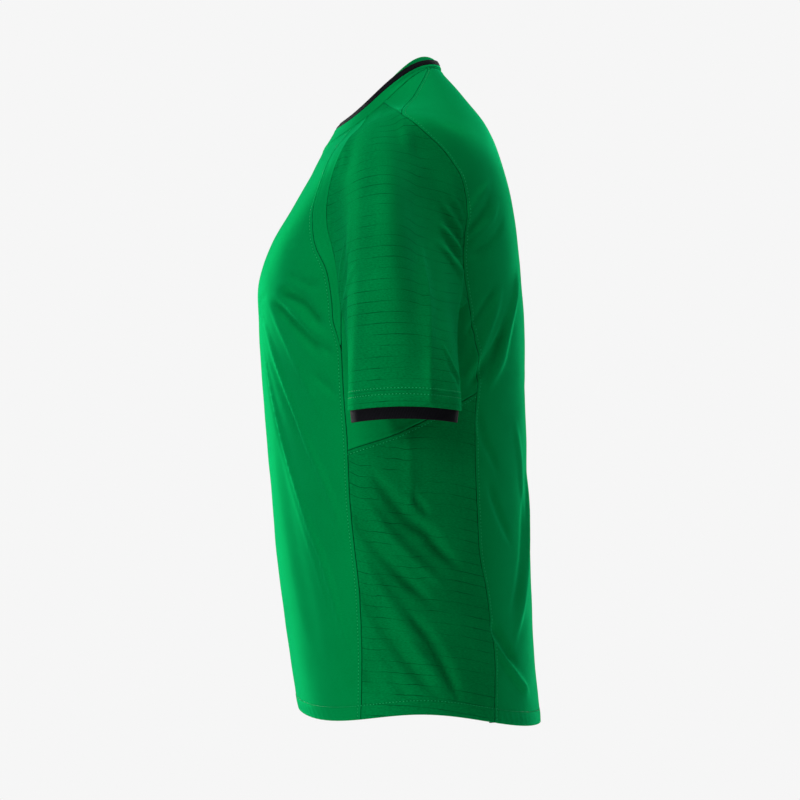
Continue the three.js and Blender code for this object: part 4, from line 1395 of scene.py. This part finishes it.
@dataclass(frozen=True)
class Finishes:
    """The materials of all the pieces."""

    green: bpy.types.Material
    pin_line: bpy.types.Material
    black: bpy.types.Material
    thread: bpy.types.Material

    @classmethod
    def make(cls) -> Finishes:
        """Builds them all."""
        return cls(
            green=Knit("green knit", (0, 143, 71), (0, 129, 62)).material(),
            pin_line=Knit(
                "green pin-line knit", (0, 146, 73), (0, 108, 52),
                line_pitch=10.7, bump=0.35, roughness=0.56, sheen=0.15,
            ).material(),
            black=Rib().material(),
            thread=Thread().material(),
        )


# ---------------------------------------------------------------- sub-assemblies


@dataclass
class StitchRow:
    """A row of stitches along a line on the cloth."""

    points: Array
    normals: Array


def stitch_rows(laid: Laid, edge: Edge, side: str) -> list[StitchRow]:
    """Picks the grid's lines that carry an edge's rows of stitches.

    Args:
        laid: The grid.
        edge: The edge's finish.
        side: left, right, bottom or top.

    Returns:
        The rows.
    """
    rows = []
    inward, _, along = edge.profile()
    for line in edge.stitches:
        index = int(np.argmin(np.abs(inward - line) + TUCKED_PENALTY * (along < 0)))
        if side in ("right", "top"):
            index = -1 - index
        picked = (slice(None), index) if side in ("left", "right") else (index, slice(None))
        rows.append(StitchRow(laid.points[picked], laid.normals[picked]))
    return rows


@dataclass
class BodyPanels:
    """Front, back, stripes, shoulder pieces, underarm pieces and side panels."""

    body: Body
    finishes: Finishes
    front: Piece = Piece("front_cloth", "front", "green_knit", (0.41, 0.62), 0.227)
    back: Piece = Piece("back_cloth", "back", "green_knit", (0.43, 0.71), 0.234)
    front_grid: tuple[int, int] = (100, 168)
    back_grid: tuple[int, int] = (104, 190)
    line_slant: float = 0.17
    tip_gap: float = 0.06
    corner_gap: float = 0.05
    rows: list[StitchRow] = field(default_factory=list)

    def neck_top(self, angle_at: Callable[[Array], Array]) -> TurnIn:
        """How a piece's top edge turns in at the neckband."""
        return lambda u: (self.body.neck_way(angle_at(u)), np.ones(u.shape))

    def front_edge(self, level: Array) -> Array:
        """The angle of the front panel's edge: the side seam, then the seam of the stripe."""
        return np.where(
            level <= self.body.stripe_tip, self.body.front_angle(level), self.body.stripe_angle(level))

    def sew_panel(self, piece: Piece, surface: Surface, grid: tuple[int, int], top_way: TurnIn) -> None:
        """Sews the front or back panel, with its hem and its stitched side seams.

        Args:
            piece: The piece.
            surface: Its surface.
            grid: How many columns and rows lie between its edges.
            top_way: How it turns in at the neckband.
        """
        columns, rows = grid
        laid = Cut(
            surface, columns, rows, bottom=BODY_HEM, top=PLAIN_SEAM, left=STITCHED_SEAM, right=STITCHED_SEAM,
            top_way=top_way,
        ).lay()
        for edge, side in ((STITCHED_SEAM, "left"), (STITCHED_SEAM, "right"), (BODY_HEM, "bottom")):
            self.rows += stitch_rows(laid, edge, side)
        piece.sew(laid, self.finishes.green)

    def make_front(self) -> None:
        """Sews the front panel."""
        def surface(u: Array, v: Array) -> Array:
            """Points of the front panel."""
            level = v * NECK_SEAM
            return self.body.cloth((2 * u - 1) * self.front_edge(level), level)
        top = self.neck_top(lambda u: (2 * u - 1) * float(self.front_edge(np.array(float(NECK_SEAM)))))
        self.sew_panel(self.front, surface, self.front_grid, top)

    def make_back(self) -> None:
        """Sews the back panel."""
        def surface(u: Array, v: Array) -> Array:
            """Points of the back panel."""
            level = v * NECK_SEAM
            return self.body.cloth(math.pi + (2 * u - 1) * (math.pi - self.body.back_angle(level)), level)
        half = math.pi - float(self.body.back_angle(np.array(float(NECK_SEAM))))
        top = self.neck_top(lambda u: math.pi + (2 * u - 1) * half)
        self.sew_panel(self.back, surface, self.back_grid, top)

    def make_sides(self, side: Side) -> None:
        """Sews the stripe, shoulder piece, underarm piece and side panel of one side.

        Args:
            side: The side.
        """
        body, word, sign = self.body, side.name.lower(), side.value

        def side_panel(u: Array, v: Array) -> Array:
            """Points of the side panel."""
            level = v * np.interp(u, shares, seam_levels)
            return body.cloth(sign * body.side_angle(u, level), level)

        def underarm(u: Array, v: Array) -> Array:
            """Points of the underarm piece."""
            level = lerp(np.interp(u, shares, seam_levels), np.interp(u, shares, arm_levels), v)
            return body.cloth(sign * body.side_angle(u, level), level)

        def stripe(u: Array, v: Array) -> Array:
            """Points of the stripe."""
            level = lerp(body.stripe_tip + self.tip_gap, NECK_SEAM, v)
            return body.cloth(sign * lerp(body.stripe_angle(level), body.front_angle(level), u), level)

        def shoulder(u: Array, v: Array) -> Array:
            """Points of the shoulder piece."""
            level = lerp(body.shoulder_tip + self.corner_gap, NECK_SEAM, v)
            return body.cloth(sign * lerp(body.shoulder_front_angle(level), body.back_angle(level), u), level)

        shares = np.linspace(0, 1, 81)
        seam_levels = body.side_seam_level(shares)
        arm_levels = body.underarm_level(shares)
        neck = np.array(float(NECK_SEAM))
        ends = {
            "stripe": (float(body.stripe_angle(neck)), float(body.front_angle(neck))),
            "shoulder": (SLEEVE_AT_NECK_BACK * DEGREE, float(body.back_angle(neck))),
        }

        def top(name: str) -> TurnIn:
            """How the top edge of the stripe or shoulder piece turns in."""
            first, last = ends[name]
            return self.neck_top(lambda u: sign * lerp(first, last, side.share(u)))

        seams = {"bottom": PLAIN_SEAM, "top": PLAIN_SEAM, "left": PLAIN_SEAM, "right": PLAIN_SEAM}
        panel_seams = seams | {"bottom": BODY_HEM, "top": STITCHED_SEAM}
        panel = Cut(turned(side_panel, side), 42, 92, **panel_seams).lay()
        self.rows += stitch_rows(panel, BODY_HEM, "bottom") + stitch_rows(panel, STITCHED_SEAM, "top")
        wide = panel.flat[..., 0].max(axis=1, keepdims=True)
        from_front = panel.flat[..., 0] if side is Side.LEFT else wide - panel.flat[..., 0]
        panel.flat[..., 1] += self.line_slant * from_front * (1 - from_front / (2 * wide))
        Piece(f"side_panel_{word}_cloth", f"side_panel_{word}", "pin_line_knit", (0.16, 0.35), 0.046).sew(
            panel, self.finishes.pin_line)
        arm = Cut(turned(underarm, side), 42, 34, **seams).lay()
        Piece(f"underarm_{word}_cloth", f"underarm_{word}", "green_knit", (0.156, 0.145), 0.017).sew(
            arm, self.finishes.green)
        strip = Cut(turned(stripe, side), 6, 66, **seams, top_way=top("stripe")).lay()
        Piece(f"front_stripe_{word}_cloth", f"front_stripe_{word}", "green_knit", (0.035, 0.27), 0.0069).sew(
            strip, self.finishes.green)
        piece = Cut(turned(shoulder, side), 8, 18, **seams, top_way=top("shoulder")).lay()
        Piece(f"shoulder_{word}_cloth", f"shoulder_{word}", "green_knit", (0.076, 0.12), 0.0028).sew(
            piece, self.finishes.green)

    def make(self) -> None:
        """Sews all the body's pieces."""
        self.make_front()
        self.make_back()
        for side in Side:
            self.make_sides(side)


@dataclass
class Sleeves:
    """The two sleeves with the black cuffs inside their hems."""

    shape: SleeveShape
    finishes: Finishes
    cuff_drop: float = 11.5
    cuff_tuck: float = 11.0
    cuff_inside: float = 2.05
    rows: list[StitchRow] = field(default_factory=list)

    def sleeve_cut(self, folds: Sequence[Fold], side: Side) -> Cut:
        """The sleeve as a ring of cloth from its hem up to the armhole.

        Args:
            folds: The sleeve's folds.
            side: The side it is on.

        Returns:
            The cut.
        """
        mirror = np.array([side.value, 1, 1])

        def surface(u: Array, v: Array) -> Array:
            """Points of the sleeve."""
            return self.shape.cloth(side.share(u), 1 - v, folds) * mirror

        def top_way(u: Array) -> tuple[Array, Array]:
            """How the sleeve turns in at the armhole."""
            around = side.share(u)
            way = self.shape.read(self.shape.seam_way, around) * mirror
            return way, self.shape.read(self.shape.in_plane, around)

        return Cut(surface, 180, 74, bottom=SLEEVE_HEM, top=PLAIN_SEAM, top_way=top_way)

    def cuff_cut(self, side: Side) -> Cut:
        """The black band, from inside the sleeve down past its hem.

        Args:
            side: The side it is on.

        Returns:
            The cut.
        """
        mirror = np.array([side.value, 1, 1])
        flow = np.array(SLEEVE_END_FLOW)

        def surface(u: Array, v: Array) -> Array:
            """Points of the cuff."""
            around = side.share(u)
            up = lerp(-self.cuff_drop, self.cuff_tuck, v)
            at_hem = np.full(u.shape, 1 - STEP)
            length = self.shape.read(self.shape.first, around) + self.shape.read(self.shape.way, around)
            inside = self.shape.bare(around, 1 - np.maximum(up, 0) / length)
            points = inside + flow * np.maximum(-up, 0)[..., None]
            normal = self.shape.bare_normal(around, at_hem)
            depth = self.cuff_inside + 1.2 * np.maximum(-up, 0) / self.cuff_drop
            return (points - normal * depth[..., None]) * mirror

        return Cut(surface, 130, 6, bottom=BAND_FOLD, top=HIDDEN_EDGE, uneven=0.5)

    def make(self) -> None:
        """Sews both sleeves and both cuffs."""
        for side in Side:
            word = side.name.lower()
            folds = SLEEVE_FOLDS if side is Side.LEFT else other_side(SLEEVE_FOLDS, 1)
            laid = self.sleeve_cut(folds, side).lay()
            self.rows += stitch_rows(laid, SLEEVE_HEM, "bottom")
            Piece(f"sleeve_{word}_cloth", f"sleeve_{word}", "pin_line_knit", (0.36, 0.41), 0.083).sew(
                laid, self.finishes.pin_line)
            Piece(f"cuff_{word}_cloth", f"cuff_{word}", "black_rib", (0.302, 0.027), 0.008).sew(
                self.cuff_cut(side).lay(), self.finishes.black)


@dataclass
class NeckBands:
    """The outer neckband, the black band above it and the band inside."""

    body: Body
    finishes: Finishes
    tuck_level: float = 15.9
    inside: float = 1.95
    proud: float = 4.8
    proud_at: float = 132
    proud_spread: float = 42
    front_drop: float = -0.8
    top_share: float = 0.78

    def ring(self, low: float, high: float) -> Surface:
        """The neck's surface between two levels."""
        return lambda u, v: self.body.cloth(u * 2 * math.pi, lerp(low, high, v))

    def inner(self, u: Array, v: Array) -> Array:
        """Points of the inner band, which stands above the collar at the sides and back.

        Args:
            u: Shares round from the front.
            v: Shares up.

        Returns:
            Points in millimetres.
        """
        angle = u * 2 * math.pi
        level = lerp(self.tuck_level, COLLAR_TOP, np.clip(v / self.top_share, 0, 1))
        level = np.minimum(level, COLLAR_TOP - 2 * STEP)
        points = self.body.plain(angle, level) - self.body.normal(angle, level) * self.inside
        up = unit(self.body.plain(angle, level + STEP) - self.body.plain(angle, level - STEP))
        round_front = np.degrees(np.arccos(np.clip(np.cos(angle), -1, 1)))
        away = (round_front - self.proud_at) / self.proud_spread
        proud = self.front_drop + (self.proud - self.front_drop) * np.exp(-away * away)
        extra = np.clip((v - self.top_share) / (1 - self.top_share), 0, 1)
        return points + up * (proud * extra)[..., None]

    def make(self) -> None:
        """Sews the three bands."""
        def way(u: Array) -> tuple[Array, Array]:
            """How the neckband turns in at the neck seam."""
            return self.body.neck_way(u * 2 * math.pi), np.ones(u.shape)
        outer = Cut(
            self.ring(NECK_SEAM, COLLAR_SEAM), 200, 8, PLAIN_SEAM, PLAIN_SEAM, bottom_way=way, uneven=0.3,
        ).lay()
        Piece("neckband_cloth", "neckband", "green_knit", (0.508, 0.032), 0.0108).sew(outer, self.finishes.green)
        collar = Cut(self.ring(COLLAR_SEAM, COLLAR_TOP), 200, 4, PLAIN_SEAM, BAND_FOLD, uneven=0.2).lay()
        Piece("collar_cloth", "collar", "black_rib", (0.46, 0.02), 0.0064).sew(collar, self.finishes.black)
        inner = Cut(self.inner, 200, 6, HIDDEN_EDGE, replace(BAND_FOLD, turned_in=7.0), uneven=0.2).lay()
        Piece("inner_neckband_cloth", "inner_neckband", "green_knit", (0.454, 0.02), 0.0062).sew(
            inner, self.finishes.green)


@dataclass
class Topstitching:
    """The rows of stitches on hems and seams, made as small threads that lie on the cloth."""

    rows: Sequence[StitchRow]
    finishes: Finishes
    pitch: float = 3.4
    length: float = 1.9
    width: float = 0.8
    thickness: float = 0.5
    raise_by: float = 0.18

    def row(self, line: StitchRow) -> bmesh.types.BMesh:
        """Makes the stitches of one row.

        Args:
            line: The row.

        Returns:
            A mesh with all its stitches.
        """
        made = bmesh.new()
        way = run_lengths(line.points, 0)

        def read(values: Array, at: float) -> Array:
            """The point or vector at a way along the row."""
            return np.array([np.interp(at, way, values[:, i]) for i in range(3)])

        for at in np.arange(self.pitch / 2, way[-1], self.pitch):
            centre = read(line.points, at)
            normal = Vector(read(line.normals, at)).normalized()
            ahead = Vector(read(line.points, at + 0.6) - read(line.points, at - 0.6)).normalized()
            side = normal.cross(ahead).normalized()
            turn = Matrix((ahead, side, ahead.cross(side))).transposed().to_4x4()
            size = Matrix.Diagonal((self.length / 2, self.width / 2, self.thickness / 2, 1 / MM)) * MM
            place = Matrix.Translation((Vector(centre) + normal * self.raise_by) * MM)
            bmesh.ops.create_icosphere(made, subdivisions=1, radius=1.0, matrix=place @ turn @ size)
        return made

    def make(self) -> None:
        """Makes every row and joins them as one piece."""
        whole = bmesh.new()
        for line in self.rows:
            made = self.row(line)
            part = bpy.data.meshes.new("stitch row")
            made.to_mesh(part)
            made.free()
            whole.from_mesh(part)
            bpy.data.meshes.remove(part)
        for face in whole.faces:
            face.smooth = True
        mesh = bpy.data.meshes.new("topstitching")
        whole.to_mesh(mesh)
        whole.free()
        mesh.materials.append(self.finishes.thread)
        made = bpy.data.objects.new("topstitching", mesh)
        bpy.context.scene.collection.objects.link(made)
        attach(made, "root")
        LOG.info("topstitching: %d faces", len(mesh.polygons))


# ---------------------------------------------------------------- studio


JERSEY_MIDDLE = (0, 0, -0.28)


@dataclass(frozen=True)
class Softbox:
    """A large soft light."""

    name: str
    place: tuple[float, float, float]
    aim: tuple[float, float, float]
    size: tuple[float, float]
    power: float

    def make(self) -> None:
        """Hangs the light."""
        light = bpy.data.lights.new(self.name, "AREA")
        light.shape = "RECTANGLE"
        light.size, light.size_y = self.size
        light.energy = self.power
        lamp = bpy.data.objects.new(self.name, light)
        lamp.location = self.place
        lamp.rotation_euler = (Vector(self.aim) - Vector(self.place)).to_track_quat("-Z", "Y").to_euler()
        bpy.context.scene.collection.objects.link(lamp)


@dataclass(frozen=True)
class Studio:
    """The floor, the lights, the pale surroundings and the camera."""

    camera_away: float = 5.0
    camera_height: float = -0.283
    view_width: float = 0.8
    sensor: float = 36.0
    floor_height: float = -1.1
    floor_radius: float = 2.4
    pale: float = 0.922
    ambient: float = 0.06
    lights: tuple[Softbox, ...] = (
        Softbox("front softbox", (-2.65, -1.8, 0.0), JERSEY_MIDDLE, (0.7, 2.0), 92),
        Softbox("back softbox", (-2.9, 1.2, -0.1), JERSEY_MIDDLE, (0.7, 2.0), 46),
        Softbox("fill softbox", (2.5, -2.2, 0.4), JERSEY_MIDDLE, (0.5, 0.8), 37),
        Softbox("top softbox", (0.9, -0.5, 2.2), JERSEY_MIDDLE, (0.7, 0.7), 40),
        Softbox("high back softbox", (-0.5, 1.1, 0.9), (0, 0.1, -0.1), (0.7, 0.7), 8),
    )

    def camera(self) -> None:
        """Sets the camera square to the wearer's left side."""
        lens = bpy.data.cameras.new("camera")
        lens.sensor_width = self.sensor
        lens.lens = self.sensor * self.camera_away / self.view_width
        lens.clip_end = 50
        camera = bpy.data.objects.new("camera", lens)
        camera.location = (self.camera_away, 0, self.camera_height)
        camera.rotation_euler = Euler((math.pi / 2, 0, math.pi / 2))
        bpy.context.scene.collection.objects.link(camera)
        bpy.context.scene.camera = camera

    def surroundings(self) -> None:
        """Makes everything round the jersey pale, and the light that comes from it weak."""
        world = bpy.data.worlds.new("studio")
        bpy.context.scene.world = world
        world.use_nodes = True
        tree = world.node_tree
        tree.nodes.clear()
        path = tree.nodes.new("ShaderNodeLightPath")
        seen, unseen = (tree.nodes.new("ShaderNodeBackground") for _ in range(2))
        seen.inputs["Color"].default_value = (self.pale, self.pale, self.pale, 1)
        unseen.inputs["Color"].default_value = (self.ambient, self.ambient, self.ambient, 1)
        mix = tree.nodes.new("ShaderNodeMixShader")
        output = tree.nodes.new("ShaderNodeOutputWorld")
        tree.links.new(path.outputs["Is Camera Ray"], mix.inputs[0])
        tree.links.new(unseen.outputs[0], mix.inputs[1])
        tree.links.new(seen.outputs[0], mix.inputs[2])
        tree.links.new(mix.outputs[0], output.inputs["Surface"])

    def floor(self) -> None:
        """Lays a plain pale floor."""
        made = bmesh.new()
        bmesh.ops.create_circle(made, cap_ends=True, radius=self.floor_radius, segments=96)
        bmesh.ops.translate(made, verts=made.verts, vec=(0, 0, self.floor_height))
        mesh = bpy.data.meshes.new("floor")
        made.to_mesh(mesh)
        made.free()
        nodes = Nodes("pale floor")
        place = nodes.add("ShaderNodeTexCoord").outputs["Object"]
        grain = nodes.add("ShaderNodeTexNoise", {"Vector": place, "Scale": 60.0}).outputs[0]
        colour = nodes.blend(grain, (0.78, 0.78, 0.78, 1), (0.82, 0.82, 0.82, 1))
        mesh.materials.append(nodes.finish(nodes.add("ShaderNodeBsdfPrincipled", {
            "Base Color": colour, "Roughness": 0.9, "Emission Color": colour, "Emission Strength": 0.4,
        })))
        floor = bpy.data.objects.new("floor", mesh)
        bpy.context.scene.collection.objects.link(floor)

    def make(self) -> None:
        """Builds the studio."""
        scene = bpy.context.scene
        scene.view_settings.view_transform = "Standard"
        scene.view_settings.look = "None"
        self.camera()
        self.surroundings()
        self.floor()
        for light in self.lights:
            light.make()


def main() -> None:
    """Builds the jersey piece by piece, then the studio round it."""
    logging.basicConfig(level=logging.INFO, format="%(relativeCreated)6d ms %(name)s: %(message)s")
    Studio().make()
    finishes = Finishes.make()
    body = Body()
    panels = BodyPanels(body, finishes)
    panels.make()
    sleeves = Sleeves(SleeveShape(body), finishes)
    sleeves.make()
    NeckBands(body, finishes).make()
    Topstitching([*panels.rows, *sleeves.rows], finishes).make()


if __name__ == "__main__":
    main()
